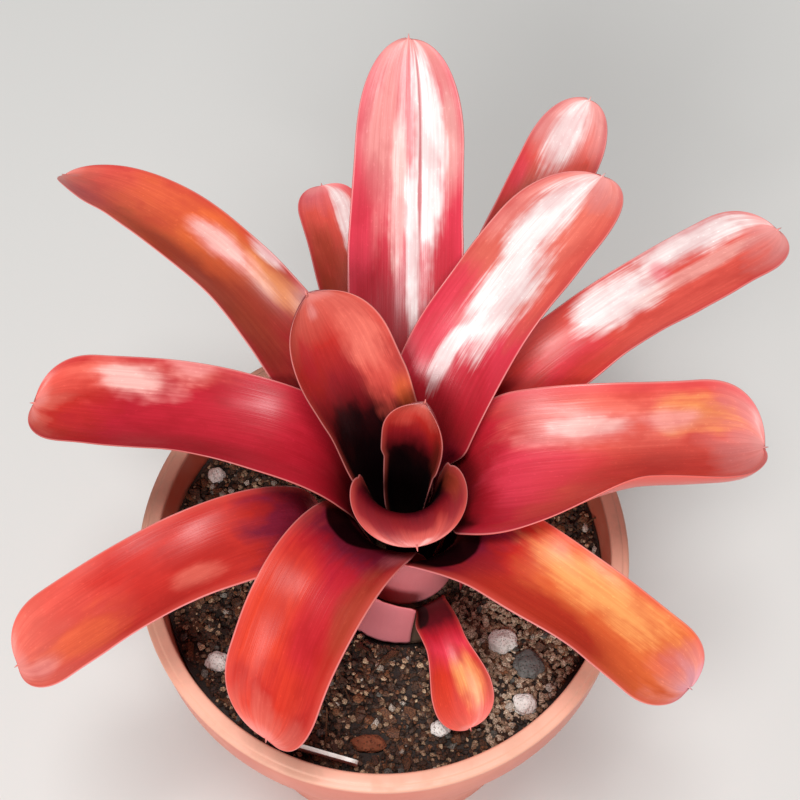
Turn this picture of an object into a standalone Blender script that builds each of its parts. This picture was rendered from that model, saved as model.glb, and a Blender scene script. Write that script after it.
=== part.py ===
"""Red neoregelia bromeliad growing in a round plastic nursery pot.

Metres, +Z up. The origin is the centre of the pot's base, which stands on the ground.
The photographed side looks towards -Y. The plant's axis stands a little to the right
of the pot's centre, at +X.
"""

import math

import bmesh
import bpy
import numpy as np
from mathutils import Matrix, Vector, noise

MM = 0.001

# Pot
POT_HEIGHT = 105.0 * MM
RIM_OUTER_RADIUS = 60.0 * MM
RIM_INNER_RADIUS = 55.6 * MM
RIM_SKIRT_DEPTH = 15.8 * MM
BASE_OUTER_RADIUS = 43.0 * MM
WALL = 1.45 * MM
FLOOR = 2.2 * MM
FLOOR_CORNER_HEIGHT = 3.4 * MM
FLOOR_CORNER_WIDTH = 1.4 * MM
WALL_TOP_INNER_RADIUS = 54.7 * MM
RIM_EDGE = 0.6 * MM
RIM_TOP_THICKNESS = 1.6 * MM
POT_STEPS = 60
DRAIN_HOLES = 6
DRAIN_HOLE_RADIUS = 4.0 * MM
DRAIN_HOLE_CIRCLE = 30.0 * MM

# Soil
SOIL_TOP = 93.0 * MM
SOIL_GAP = 0.35 * MM
SOIL_STEPS = 48
SOIL_ROUGHNESS = 0.9 * MM
STEM_HOLE_RADIUS = 10.4 * MM
STEM_HOLE_FLOOR = 62.0 * MM
CROWN_HOLE_RADIUS = 21.7 * MM
CROWN_HOLE_FLOOR = 90.0 * MM

# Plant axis, and the cone on which the leaves sit
PLANT_X = 5.0 * MM
CONE_TOP = POT_HEIGHT + 6.0 * MM
CONE_RADIUS = 20.0 * MM
STEM_RADIUS = 10.0 * MM
LEAF_SEAT_GAP = 0.6 * MM

# Leaf shells, from the innermost outwards
LEAF_THICKNESS = 0.7 * MM
FIRST_SHELL_RADIUS = 3.2 * MM
SHELL_PITCH = 1.15 * MM
FIRST_SHOULDER_RADIUS = 11.0 * MM
SHOULDER_PITCH = 0.8 * MM
FIRST_SHOULDER_HEIGHT = POT_HEIGHT + 38.0 * MM
SHOULDER_DROP = 0.8 * MM
WIDEST_SHEATH_ANGLE = math.radians(105.0)
LEAF_ROWS = 18

# Plant label
LABEL_WIDTH = 18.0 * MM
LABEL_LENGTH = 48.0 * MM
LABEL_THICKNESS = 0.9 * MM
LABEL_TOP = POT_HEIGHT - 3.5 * MM
LABEL_CORNER = 1.5 * MM
LABEL_POINT_SHARE = 0.45
LABEL_SLOT_GAP = 0.35 * MM
LABEL_RADIUS = 52.6 * MM
LABEL_AZIMUTH = math.radians(-106.0)
LABEL_LEAN = math.radians(8.7)

PARTS_NAME = "neoregelia_in_pot"
CUTTERS_NAME = "cutters"


def clear_scene():
    for item in list(bpy.data.objects):
        bpy.data.objects.remove(item, do_unlink=True)


def make_collection(name):
    collection = bpy.data.collections.new(name)
    bpy.context.scene.collection.children.link(collection)
    return collection


clear_scene()
PARTS = make_collection(PARTS_NAME)
CUTTERS = make_collection(CUTTERS_NAME)


def make_material(name, colour, roughness):
    material = bpy.data.materials.new(name)
    material.use_nodes = True
    shader = material.node_tree.nodes["Principled BSDF"]
    shader.inputs["Base Color"].default_value = (*colour, 1.0)
    shader.inputs["Roughness"].default_value = roughness
    material.diffuse_color = (*colour, 1.0)
    return material


def add_object(name, mesh, material=None, collection=None):
    item = bpy.data.objects.new(name, mesh)
    (collection or PARTS).objects.link(item)
    if material is not None:
        mesh.materials.append(material)
    return item


def mesh_from(name, shape, smooth=True):
    mesh = bpy.data.meshes.new(name)
    shape.to_mesh(mesh)
    shape.free()
    for face in mesh.polygons:
        face.use_smooth = smooth
    return mesh


def hide_cutter(item):
    item.hide_render = True
    item.display_type = "WIRE"


def cut(target, cutter):
    modifier = target.modifiers.new("cut_" + cutter.name, "BOOLEAN")
    modifier.operation = "DIFFERENCE"
    modifier.solver = "EXACT"
    modifier.object = cutter


def lathe(name, profile, steps, material):
    """Solid of revolution about Z from points (radius, height)."""
    mesh = bpy.data.meshes.new(name)
    points = [(radius, 0.0, height) for radius, height in profile]
    edges = [(index, index + 1) for index in range(len(points) - 1)]
    mesh.from_pydata(points, edges, [])
    item = add_object(name, mesh, material)
    screw = item.modifiers.new("lathe", "SCREW")
    screw.axis = "Z"
    screw.angle = math.tau
    screw.steps = steps
    screw.render_steps = steps
    screw.use_merge_vertices = True
    screw.merge_threshold = 0.00002
    screw.use_smooth_shade = True
    return item


# Pot

def inner_radius_at(height):
    """Radius of the pot's inner wall at a height."""
    lower = (BASE_OUTER_RADIUS - WALL + 0.05 * MM, FLOOR_CORNER_HEIGHT)
    upper = (WALL_TOP_INNER_RADIUS, POT_HEIGHT - RIM_SKIRT_DEPTH)
    if height > upper[1]:
        share = (height - upper[1]) / RIM_SKIRT_DEPTH
        return upper[0] + (RIM_INNER_RADIUS - upper[0]) * share
    share = (height - lower[1]) / (upper[1] - lower[1])
    return lower[0] + (upper[0] - lower[0]) * share


def build_pot():
    skirt_end = POT_HEIGHT - RIM_SKIRT_DEPTH
    wall_top = inner_radius_at(skirt_end)
    wall_low = inner_radius_at(FLOOR_CORNER_HEIGHT)
    profile = [
        (0.0, FLOOR),
        (wall_low - FLOOR_CORNER_WIDTH, FLOOR),
        (wall_low, FLOOR_CORNER_HEIGHT),
        (wall_top, skirt_end),
        (RIM_INNER_RADIUS, POT_HEIGHT - RIM_EDGE),
        (RIM_INNER_RADIUS + 0.5 * MM, POT_HEIGHT),
        (RIM_OUTER_RADIUS - 0.7 * MM, POT_HEIGHT),
        (RIM_OUTER_RADIUS, POT_HEIGHT - RIM_EDGE),
        (RIM_OUTER_RADIUS - 0.7 * MM, skirt_end + 0.4 * MM),
        (RIM_OUTER_RADIUS - 1.1 * MM, skirt_end),
        (RIM_OUTER_RADIUS - 2.1 * MM, skirt_end),
        (RIM_OUTER_RADIUS - 1.7 * MM, POT_HEIGHT - RIM_TOP_THICKNESS),
        (RIM_INNER_RADIUS + WALL, POT_HEIGHT - RIM_TOP_THICKNESS),
        (wall_top + WALL, skirt_end),
        (BASE_OUTER_RADIUS, 1.2 * MM),
        (BASE_OUTER_RADIUS - 1.1 * MM, 0.0),
        (0.0, 0.0),
    ]
    plastic = make_material("pot_plastic", (0.72, 0.24, 0.14), 0.45)
    pot = lathe("pot", profile, POT_STEPS, plastic)
    for index in range(DRAIN_HOLES):
        angle = math.tau * (index + 0.5) / DRAIN_HOLES
        shape = bmesh.new()
        place = Matrix.Translation(
            (DRAIN_HOLE_CIRCLE * math.cos(angle), DRAIN_HOLE_CIRCLE * math.sin(angle), 0.0)
        )
        bmesh.ops.create_cone(
            shape,
            cap_ends=True,
            segments=16,
            radius1=DRAIN_HOLE_RADIUS,
            radius2=DRAIN_HOLE_RADIUS,
            depth=12.0 * MM,
            matrix=place,
        )
        cutter = add_object("drain_cutter_%d" % (index + 1), mesh_from("drain", shape), None, CUTTERS)
        hide_cutter(cutter)
        cut(pot, cutter)
    return pot


# Soil

def soil_height(x, y):
    """Gently uneven surface of the soil."""
    wave = noise.noise(Vector((x * 75.0, y * 75.0, 2.0)))
    fine = noise.noise(Vector((x * 210.0, y * 210.0, 7.0)))
    return SOIL_TOP + SOIL_ROUGHNESS * (0.8 * wave + 0.4 * fine)


def build_soil():
    outer_top = inner_radius_at(SOIL_TOP) - SOIL_GAP
    low = FLOOR_CORNER_HEIGHT
    rings = [26.5 * MM, 32.5 * MM, 38.5 * MM, 44.5 * MM, 50.0 * MM]
    flat = [
        (0.0, STEM_HOLE_FLOOR),
        (STEM_HOLE_RADIUS, STEM_HOLE_FLOOR),
        (STEM_HOLE_RADIUS, CROWN_HOLE_FLOOR),
        (CROWN_HOLE_RADIUS, CROWN_HOLE_FLOOR),
        (CROWN_HOLE_RADIUS, SOIL_TOP),
    ]
    outside = [
        (outer_top, SOIL_TOP),
        (inner_radius_at(low) - SOIL_GAP, low + 0.3 * MM),
        (inner_radius_at(low) - FLOOR_CORNER_WIDTH - SOIL_GAP, FLOOR + SOIL_GAP),
        (0.0, FLOOR + SOIL_GAP),
    ]
    # The hole is round about the plant, the outside is round about the pot.
    profile = [(radius, height, 1.0) for radius, height in flat]
    first = CROWN_HOLE_RADIUS
    for radius in rings:
        share = (radius - first) / (outer_top - first)
        profile.append((radius, SOIL_TOP, 1.0 - share))
    profile += [(radius, height, 0.0) for radius, height in outside]
    shape = bmesh.new()
    rows = []
    for radius, height, share in profile:
        centre = PLANT_X * share
        if radius == 0.0:
            rows.append([shape.verts.new((centre, 0.0, height))])
            continue
        row = []
        for step in range(SOIL_STEPS):
            angle = math.tau * step / SOIL_STEPS
            x = centre + radius * math.cos(angle)
            y = radius * math.sin(angle)
            level = soil_height(x, y) if height == SOIL_TOP else height
            row.append(shape.verts.new((x, y, level)))
        rows.append(row)
    for inner, outer in zip(rows[:-1], rows[1:]):
        for step in range(SOIL_STEPS):
            after = (step + 1) % SOIL_STEPS
            if len(inner) == 1:
                shape.faces.new((inner[0], outer[step], outer[after]))
            elif len(outer) == 1:
                shape.faces.new((inner[step], outer[0], inner[after]))
            else:
                shape.faces.new((inner[step], outer[step], outer[after], inner[after]))
    bmesh.ops.triangulate(shape, faces=shape.faces[:], quad_method="FIXED")
    bmesh.ops.recalc_face_normals(shape, faces=shape.faces[:])
    earth = make_material("potting_mix", (0.06, 0.04, 0.028), 0.95)
    return add_object("soil", mesh_from("soil", shape), earth)


# Stem

def build_stem():
    profile = [
        (0.0, CONE_TOP),
        (CONE_RADIUS, CONE_TOP - CONE_RADIUS),
        (CONE_RADIUS - 0.6 * MM, CROWN_HOLE_FLOOR + SOIL_GAP),
        (STEM_RADIUS, CROWN_HOLE_FLOOR + SOIL_GAP),
        (STEM_RADIUS, 66.0 * MM),
        (STEM_RADIUS - 2.5 * MM, STEM_HOLE_FLOOR + SOIL_GAP),
        (0.0, STEM_HOLE_FLOOR + SOIL_GAP),
    ]
    wood = make_material("stem_tissue", (0.30, 0.24, 0.12), 0.7)
    stem = lathe("stem", profile, 40, wood)
    stem.location.x = PLANT_X
    return stem


# Leaves

def ramp(value, start, end):
    share = np.clip((value - start) / (end - start), 0.0, 1.0)
    return share * share * (3.0 - 2.0 * share)


def bezier(points, count):
    share = np.linspace(0.0, 1.0, count)[:, None]
    rest = 1.0 - share
    return (
        rest**3 * points[0]
        + 3.0 * rest**2 * share * points[1]
        + 3.0 * rest * share**2 * points[2]
        + share**3 * points[3]
    )


def midrib(leaf):
    """Curve of a leaf's middle line in its own upright plane: radius, height."""
    base_radius = FIRST_SHELL_RADIUS + leaf["shell"] * SHELL_PITCH
    base_height = CONE_TOP - (base_radius - LEAF_THICKNESS / 2.0) + LEAF_SEAT_GAP
    radius = leaf.get("shoulder_radius")
    radius = FIRST_SHOULDER_RADIUS + leaf["shell"] * SHOULDER_PITCH if radius is None else radius * MM
    height = leaf.get("shoulder_height")
    if height is None:
        height = FIRST_SHOULDER_HEIGHT - leaf["shell"] * SHOULDER_DROP
    else:
        height = POT_HEIGHT + height * MM
    rise = math.radians(leaf["shoulder_rise"])
    tip_rise = math.radians(leaf["tip_rise"])
    reach = leaf["reach"] * MM
    tip = POT_HEIGHT + leaf["tip_height"] * MM
    third = (height - base_height) / 3.0
    out = leaf["shoulder_pull"] * MM
    back = leaf["tip_pull"] * MM
    sheath = bezier(
        np.array([
            [base_radius, base_height],
            [base_radius, base_height + third],
            [radius - third * math.cos(rise), height - third * math.sin(rise)],
            [radius, height],
        ]),
        160,
    )
    blade = bezier(
        np.array([
            [radius, height],
            [radius + out * math.cos(rise), height + out * math.sin(rise)],
            [reach - back * math.cos(tip_rise), tip - back * math.sin(tip_rise)],
            [reach, tip],
        ]),
        160,
    )
    curve = np.vstack([sheath, blade[1:]])
    steps = np.hypot(*np.diff(curve, axis=0).T)
    travel = np.concatenate([[0.0], np.cumsum(steps)])
    return curve, travel, travel[159]


def leaf_points(leaf, rows, columns):
    """Grid of points over the leaf, from its base to its tip."""
    curve, travel, sheath_end = midrib(leaf)
    length = travel[-1]
    share = np.linspace(0.0, 1.0, rows + 1)
    share = 1.0 - (1.0 - share) ** 1.2
    along = share * length
    radius = np.interp(along, travel, curve[:, 0])
    height = np.interp(along, travel, curve[:, 1])
    step = 0.5 * MM
    lean_out = np.interp(along + step, travel, curve[:, 0]) - np.interp(along - step, travel, curve[:, 0])
    lean_up = np.interp(along + step, travel, curve[:, 1]) - np.interp(along - step, travel, curve[:, 1])
    size = np.hypot(lean_out, lean_up)
    lean_out = lean_out / size
    lean_up = lean_up / size

    base_width = leaf["base_width"] * MM
    sheath_width = leaf.get("sheath_width", 11.0) * MM
    blade_width = leaf["blade_width"] * MM
    neck_width = blade_width * leaf.get("neck", 0.9)
    flare = leaf.get("flare", 18.0) * MM
    drop_start = leaf.get("drop_start", 0.15 * sheath_end / MM) * MM
    drop_end = leaf.get("drop_end", sheath_end / MM) * MM
    widest = leaf["widest_at"] * length
    half = base_width + (sheath_width - base_width) * ramp(along, drop_start, drop_end)
    half = half + (neck_width - sheath_width) * ramp(along, sheath_end - 2.0 * MM, sheath_end + flare)
    half = half + (blade_width - neck_width) * ramp(along, sheath_end + 0.6 * flare, widest)
    tip_start = 1.0 - leaf.get("tip_taper", 1.25) * blade_width / length
    into_tip = np.clip((share - tip_start) / (1.0 - tip_start), 0.0, 1.0)
    half = half * np.sqrt(np.clip(1.0 - into_tip**2.4, 0.0, 1.0))
    half = np.maximum(half, 0.6 * MM)

    across = np.linspace(-1.0, 1.0, columns + 1)[None, :]
    left = across > 0.0
    trim = ramp(share, 0.45, 0.95)[:, None]
    outer = across * (1.0 - np.where(left, leaf.get("left_trim", 0.0), leaf.get("right_trim", 0.0)) * trim)
    low = (1.0 - ramp(along, 0.7 * sheath_end, sheath_end + 6.0 * MM))[:, None]
    wrap = np.where(left, leaf.get("left_wrap", 1.0), leaf.get("right_wrap", 1.0))
    inner = across * (1.0 - (1.0 - wrap) * low)
    outer = np.where(low > 0.0, inner, outer)

    azimuth = math.radians(leaf["azimuth"])
    radial = np.array([math.cos(azimuth), math.sin(azimuth), 0.0])
    sideways = np.array([-math.sin(azimuth), math.cos(azimuth), 0.0])
    upward = np.array([0.0, 0.0, 1.0])
    origin = np.array([PLANT_X, 0.0, 0.0])
    start = 0.8 * sheath_end
    drift = leaf.get("drift", 0.0) * MM * np.clip((along - start) / (length - start), 0.0, 1.0) ** 2
    middle = origin + radius[:, None] * radial + height[:, None] * upward + drift[:, None] * sideways
    inward = -lean_up[:, None] * radial + lean_out[:, None] * upward
    roll = math.radians(leaf.get("roll", 0.0)) * ramp(along, sheath_end + 15.0 * MM, sheath_end + 50.0 * MM)
    side = np.cos(roll)[:, None] * sideways + np.sin(roll)[:, None] * inward
    inward = -np.sin(roll)[:, None] * sideways + np.cos(roll)[:, None] * inward

    wrapped = np.minimum(half / np.maximum(radius, 1.0 * MM), WIDEST_SHEATH_ANGLE)
    blend = leaf.get("blend", 40.0) * MM
    free = ramp(along, sheath_end, sheath_end + blend)

    def channel(middle_angle, tip_angle):
        opening = math.radians(tip_angle - middle_angle)
        angle = math.radians(middle_angle) + opening * ramp(along, 0.6 * length, length)
        angle = wrapped * (1.0 - free) + angle * free
        bend = (half / angle)[:, None]
        turn = outer * angle[:, None]
        return bend * np.sin(turn), bend * (1.0 - np.cos(turn))

    offset, lift = channel(leaf["channel"], leaf["tip_channel"])
    if "right_channel" in leaf:
        near_offset, near_lift = channel(leaf["right_channel"], leaf["right_tip_channel"])
        offset = np.where(left, offset, near_offset)
        lift = np.where(left, lift, near_lift)
    blade = middle[:, None, :] + side[:, None, :] * offset[:, :, None] + inward[:, None, :] * lift[:, :, None]
    turn = azimuth + inner * wrapped[:, None]
    sheath = np.stack(
        [
            PLANT_X + radius[:, None] * np.cos(turn),
            radius[:, None] * np.sin(turn),
            np.broadcast_to(height[:, None], turn.shape),
        ],
        -1,
    )
    mix = ramp(along, sheath_end - 2.0 * MM, sheath_end + blend)[:, None, None]
    return sheath * (1.0 - mix) + blade * mix


def build_leaf(name, colour, columns, **leaf):
    points = leaf_points(leaf, LEAF_ROWS, columns)
    shape = bmesh.new()
    rows = [[shape.verts.new(point) for point in row] for row in points]
    for low, high in zip(rows[:-1], rows[1:]):
        for index in range(columns):
            shape.faces.new((low[index], low[index + 1], high[index + 1], high[index]))
    skin = make_material(name + "_skin", colour, 0.35)
    item = add_object(name, mesh_from(name, shape), skin)
    split = item.modifiers.new("split", "TRIANGULATE")
    split.quad_method = "FIXED"
    body = item.modifiers.new("thickness", "SOLIDIFY")
    body.thickness = LEAF_THICKNESS
    body.offset = 0.0
    body.use_rim = True
    return item


CRIMSON = (0.50, 0.03, 0.06)
CORAL = (0.62, 0.13, 0.08)
ORANGE = (0.70, 0.20, 0.05)


def build_leaves():
    build_leaf(
        "leaf_inner_young", CORAL, 8,
        shell=0, azimuth=62, reach=9, tip_height=60,
        shoulder_radius=5.2, shoulder_height=30, shoulder_rise=86, shoulder_pull=14,
        tip_rise=78, tip_pull=12, base_width=8, sheath_width=8.5, blade_width=8.7,
        widest_at=0.72, channel=65, tip_channel=50, blend=20,
    )
    build_leaf(
        "leaf_inner_back", CORAL, 8,
        shell=1, azimuth=127.5, reach=34, tip_height=73,
        shoulder_radius=9, shoulder_height=34, shoulder_rise=76, shoulder_pull=16,
        tip_rise=60, tip_pull=16, base_width=12, sheath_width=13, blade_width=14,
        widest_at=0.70, channel=65, tip_channel=50, blend=20, left_wrap=0.6,
    )
    build_leaf(
        "leaf_inner_front", CRIMSON, 12,
        shell=2, azimuth=-82, reach=19.0, tip_height=45, drift=-2,
        shoulder_radius=8.6, shoulder_height=38, shoulder_rise=75, shoulder_pull=6,
        tip_rise=-5, tip_pull=7, base_width=13, sheath_width=14, blade_width=18.4,
        widest_at=0.80, neck=0.95, flare=8, tip_taper=0.5, channel=85, tip_channel=75, blend=300,
        left_wrap=0.85, right_wrap=0.55,
    )
    build_leaf(
        "leaf_back_right", CRIMSON, 6,
        shell=3, azimuth=66, reach=77, tip_height=64, drift=-15,
        shoulder_rise=74, shoulder_pull=22, tip_rise=12, tip_pull=36,
        base_width=14, blade_width=12.6, widest_at=0.70, neck=0.95, tip_taper=1.5,
        channel=40, tip_channel=30, right_wrap=0.4, left_wrap=0.74,
    )
    build_leaf(
        "leaf_left", CRIMSON, 6,
        shell=4, azimuth=167, reach=87, tip_height=38,
        shoulder_rise=74, shoulder_pull=26, tip_rise=-15, tip_pull=36,
        base_width=16, blade_width=12.5, widest_at=0.75, neck=0.90,
        channel=45, tip_channel=40, left_wrap=0.63, right_wrap=0.76,
    )
    build_leaf(
        "leaf_right", CORAL, 10,
        shell=5, azimuth=-0.5, reach=81, tip_height=38, drift=9,
        shoulder_rise=68, shoulder_pull=20, tip_rise=-8, tip_pull=34,
        base_width=15, sheath_width=13, blade_width=17.5, widest_at=0.75, neck=1.1, tip_taper=1.0,
        channel=45, tip_channel=50, right_channel=105, right_tip_channel=90, right_wrap=0.5,
    )
    build_leaf(
        "leaf_front_left", ORANGE, 6,
        shell=6, azimuth=-126, reach=61.5, tip_height=24, drift=8,
        shoulder_rise=60, shoulder_pull=20, tip_rise=-50, tip_pull=26,
        base_width=16, sheath_width=13, blade_width=12.8, widest_at=0.66, neck=1.0,
        channel=40, tip_channel=30, right_wrap=0.69, left_wrap=0.8,
    )
    build_leaf(
        "leaf_back", CORAL, 6,
        shell=7, azimuth=90, reach=96, tip_height=74, drift=-1,
        shoulder_rise=68, shoulder_pull=24, tip_rise=26, tip_pull=44,
        base_width=18, blade_width=14, widest_at=0.62, tip_taper=2.0,
        channel=35, tip_channel=25, left_trim=0.15, right_trim=0.05,
    )
    build_leaf(
        "leaf_front_right", ORANGE, 8,
        shell=8, azimuth=-42, reach=75, tip_height=24, drift=9.5,
        shoulder_rise=66, shoulder_pull=20, tip_rise=-38, tip_pull=28,
        base_width=19, sheath_width=16, blade_width=10.9, widest_at=0.68, neck=1.05,
        channel=40, tip_channel=30, left_wrap=0.65,
    )
    build_leaf(
        "leaf_back_right_lower", CORAL, 6,
        shell=9, azimuth=63.8, reach=99.5, tip_height=60,
        shoulder_rise=62, shoulder_pull=24, tip_rise=20, tip_pull=44,
        base_width=16, blade_width=9.8, widest_at=0.72, tip_taper=1.9,
        channel=35, tip_channel=30, right_wrap=0.6,
    )
    build_leaf(
        "leaf_back_left", ORANGE, 6,
        shell=10, azimuth=130.5, reach=111, tip_height=48, drift=12.5, roll=8,
        shoulder_rise=62, shoulder_pull=35, tip_rise=-25, tip_pull=48,
        base_width=19, blade_width=10.6, widest_at=0.50, tip_taper=4.6,
        channel=50, tip_channel=40, right_wrap=0.6,
    )
    build_leaf(
        "leaf_right_upper", CORAL, 6,
        shell=11, azimuth=39, reach=105, tip_height=50, drift=-9,
        shoulder_rise=54, shoulder_pull=24, tip_rise=2, tip_pull=44,
        base_width=19, sheath_width=10, blade_width=10.4, widest_at=0.72, neck=0.95,
        channel=40, tip_channel=30, left_wrap=0.65,
    )
    build_leaf(
        "leaf_back_small", ORANGE, 6,
        shell=12, azimuth=104.5, reach=80, tip_height=42,
        shoulder_rise=58, shoulder_pull=14, tip_rise=-5, tip_pull=26,
        base_width=18, blade_width=8, widest_at=0.75,
        channel=35, tip_channel=30, left_wrap=0.7,
    )
    build_leaf(
        "leaf_left_lower", CORAL, 8,
        shell=14.6, azimuth=-156, reach=93, tip_height=23.5,
        shoulder_radius=21.4, shoulder_height=27.6,
        shoulder_rise=68, shoulder_pull=24, tip_rise=-32, tip_pull=40,
        base_width=25, blade_width=10.8, widest_at=0.70, neck=1.0, drop_start=19, drop_end=26,
        channel=35, tip_channel=30, left_wrap=0.98, right_wrap=0.8,
    )
    build_leaf(
        "leaf_front_small", ORANGE, 6,
        shell=9.3, azimuth=-69, reach=46, tip_height=-6, drift=-1,
        shoulder_radius=17.0, shoulder_height=-2, shoulder_rise=40, shoulder_pull=10,
        tip_rise=-35, tip_pull=14, base_width=5.5, sheath_width=5, blade_width=8,
        widest_at=0.75, neck=0.7, channel=45, tip_channel=30, blend=12, right_wrap=0.6,
    )


# Stones and bark on the soil

PEBBLE_SINK = 0.32
PEBBLE_POCKET_GROWTH = 0.8 * MM


def pebble_shape(x, y, size, seed, grow):
    shape = bmesh.new()
    bmesh.ops.create_icosphere(shape, subdivisions=2, radius=0.5)
    width, depth, tall = size
    sink = PEBBLE_SINK * tall
    centre = Vector((x, y, soil_height(x, y) + tall * 0.5 - sink))
    for vertex in shape.verts:
        bump = 1.0 + 0.22 * noise.noise(vertex.co * 3.1 + Vector((seed, 0.0, 0.0)))
        spot = vertex.co * bump
        spot = Vector((spot.x * (width + grow), spot.y * (depth + grow), spot.z * (tall + grow)))
        vertex.co = centre + spot
    bmesh.ops.recalc_face_normals(shape, faces=shape.faces[:])
    return shape


def build_pebble(name, material, x, y, size, seed, soil):
    x *= MM
    y *= MM
    size = [value * MM for value in size]
    add_object(name, mesh_from(name, pebble_shape(x, y, size, seed, 0.0)), material)
    pocket = pebble_shape(x, y, size, seed, PEBBLE_POCKET_GROWTH)
    cutter = add_object(name + "_pocket", mesh_from(name + "_pocket", pocket), None, CUTTERS)
    hide_cutter(cutter)
    cut(soil, cutter)


def build_pebbles(soil):
    white = make_material("pumice", (0.75, 0.72, 0.66), 0.9)
    grey = make_material("grey_stone", (0.30, 0.29, 0.27), 0.8)
    bark = make_material("bark", (0.28, 0.10, 0.05), 0.85)
    build_pebble("pumice_right", white, 28.9, -20.6, (7.4, 5.8, 4.6), 1.0, soil)
    build_pebble("stone_grey", grey, 35.2, -26.4, (7.0, 7.2, 4.8), 2.0, soil)
    build_pebble("pumice_front_right", white, 33.9, -36.2, (6.2, 5.4, 4.4), 3.0, soil)
    build_pebble("pumice_front", white, 13.7, -42.0, (4.8, 4.2, 3.6), 4.0, soil)
    build_pebble("pumice_left", white, -40.4, -25.4, (5.6, 5.0, 4.2), 5.0, soil)
    build_pebble("pumice_back_left", white, -43.4, 24.6, (4.6, 4.4, 3.8), 6.0, soil)
    build_pebble("bark_chip", bark, -3.4, -45.5, (8.0, 4.4, 3.0), 7.0, soil)


# Plant label

def label_box(name, grow, collection, material):
    shape = bmesh.new()
    bmesh.ops.create_cube(shape, size=1.0)
    sides = [edge for edge in shape.edges if abs(edge.verts[0].co.y - edge.verts[1].co.y) > 0.5]
    for vertex in shape.verts:
        vertex.co.x *= LABEL_WIDTH + 2.0 * grow
        vertex.co.y *= LABEL_THICKNESS + 2.0 * grow
        top = vertex.co.z > 0.0
        vertex.co.z = grow if top else -LABEL_LENGTH - grow
        if not top:
            vertex.co.x *= LABEL_POINT_SHARE if grow == 0.0 else LABEL_POINT_SHARE + 0.05
    if not grow:
        top_sides = [edge for edge in sides if edge.verts[0].co.z > -0.01]
        bmesh.ops.bevel(
            shape, geom=top_sides, offset=LABEL_CORNER, segments=3, profile=0.5, affect="EDGES", material=-1
        )
    turn = Matrix.Rotation(LABEL_AZIMUTH - math.pi / 2.0, 4, "Z")
    lean = Matrix.Rotation(-LABEL_LEAN, 4, "X")
    away = LABEL_RADIUS - LABEL_THICKNESS
    place = turn @ Matrix.Translation((0.0, away, LABEL_TOP)) @ lean
    bmesh.ops.transform(shape, matrix=place, verts=shape.verts)
    bmesh.ops.recalc_face_normals(shape, faces=shape.faces[:])
    return add_object(name, mesh_from(name, shape, smooth=False), material, collection)


def build_label(soil):
    white = make_material("label_plastic", (0.85, 0.85, 0.83), 0.4)
    label_box("plant_label", 0.0, PARTS, white)
    cutter = label_box("label_slot", LABEL_SLOT_GAP, CUTTERS, None)
    hide_cutter(cutter)
    cut(soil, cutter)


build_pot()
SOIL = build_soil()
build_stem()
build_leaves()
build_pebbles(SOIL)
build_label(SOIL)
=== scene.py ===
"""Looks of a red bromeliad in its pot: leaf skins, gritty mix, stones, label and pot."""

import math
import random

import bmesh
import bpy
import numpy as np
from mathutils import Euler, Matrix, Vector, noise
from mathutils.bvhtree import BVHTree


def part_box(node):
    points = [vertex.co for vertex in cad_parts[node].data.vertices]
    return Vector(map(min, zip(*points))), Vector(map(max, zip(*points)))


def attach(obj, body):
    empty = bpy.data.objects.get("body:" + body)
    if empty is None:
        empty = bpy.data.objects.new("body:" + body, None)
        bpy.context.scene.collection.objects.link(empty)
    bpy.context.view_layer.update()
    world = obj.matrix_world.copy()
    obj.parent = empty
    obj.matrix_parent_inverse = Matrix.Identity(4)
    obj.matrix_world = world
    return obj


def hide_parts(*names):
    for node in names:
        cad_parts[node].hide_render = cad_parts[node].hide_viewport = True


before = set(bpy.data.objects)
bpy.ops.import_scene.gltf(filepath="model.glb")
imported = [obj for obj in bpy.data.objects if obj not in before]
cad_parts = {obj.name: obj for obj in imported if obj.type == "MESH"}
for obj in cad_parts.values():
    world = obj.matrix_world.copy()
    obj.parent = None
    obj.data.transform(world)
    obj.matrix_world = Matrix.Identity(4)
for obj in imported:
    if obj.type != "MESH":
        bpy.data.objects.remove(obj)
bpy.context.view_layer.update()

MM = 0.001

# Pot, as in the frame
POT_HEIGHT = 105.0 * MM
RIM_OUTER_RADIUS = 60.0 * MM
RIM_INNER_RADIUS = 55.6 * MM
RIM_SKIRT_DEPTH = 15.8 * MM
BASE_OUTER_RADIUS = 43.0 * MM
WALL = 1.45 * MM
FLOOR = 2.2 * MM
FLOOR_CORNER_HEIGHT = 3.4 * MM
FLOOR_CORNER_WIDTH = 1.4 * MM
WALL_TOP_INNER_RADIUS = 54.7 * MM
DRAIN_HOLES = 6
DRAIN_HOLE_RADIUS = 4.0 * MM
DRAIN_HOLE_CIRCLE = 30.0 * MM
DRAIN_HOLE_STEPS = 48

# Finer form of the pot's shell
WALL_LOW_INNER_RADIUS = BASE_OUTER_RADIUS - WALL + 0.05 * MM
RIM_THICKNESS = 1.9 * MM
RIM_STEP_WIDTH = 2.9 * MM
RIM_STEP_DEPTH = 0.3 * MM
POT_STEPS = 180

# Plant's axis, crown and leaf shells, as in the frame
PLANT_X = 5.0 * MM
CONE_TOP = POT_HEIGHT + 6.0 * MM
CROWN_RADIUS = 20.0 * MM
LEAF_SEAT_GAP = 0.6 * MM
LEAF_THICKNESS = 0.7 * MM
FIRST_SHELL_RADIUS = 3.2 * MM
SHELL_PITCH = 1.15 * MM
FIRST_SHOULDER_RADIUS = 11.0 * MM
SHOULDER_PITCH = 0.8 * MM
FIRST_SHOULDER_HEIGHT = POT_HEIGHT + 38.0 * MM
SHOULDER_DROP = 0.8 * MM
WIDEST_SHEATH_ANGLE = math.radians(105.0)

# Soil surface
SOIL_TOP = 93.0 * MM
SOIL_RADIUS = 53.9 * MM
CROWN_GAP = 1.0 * MM

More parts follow.
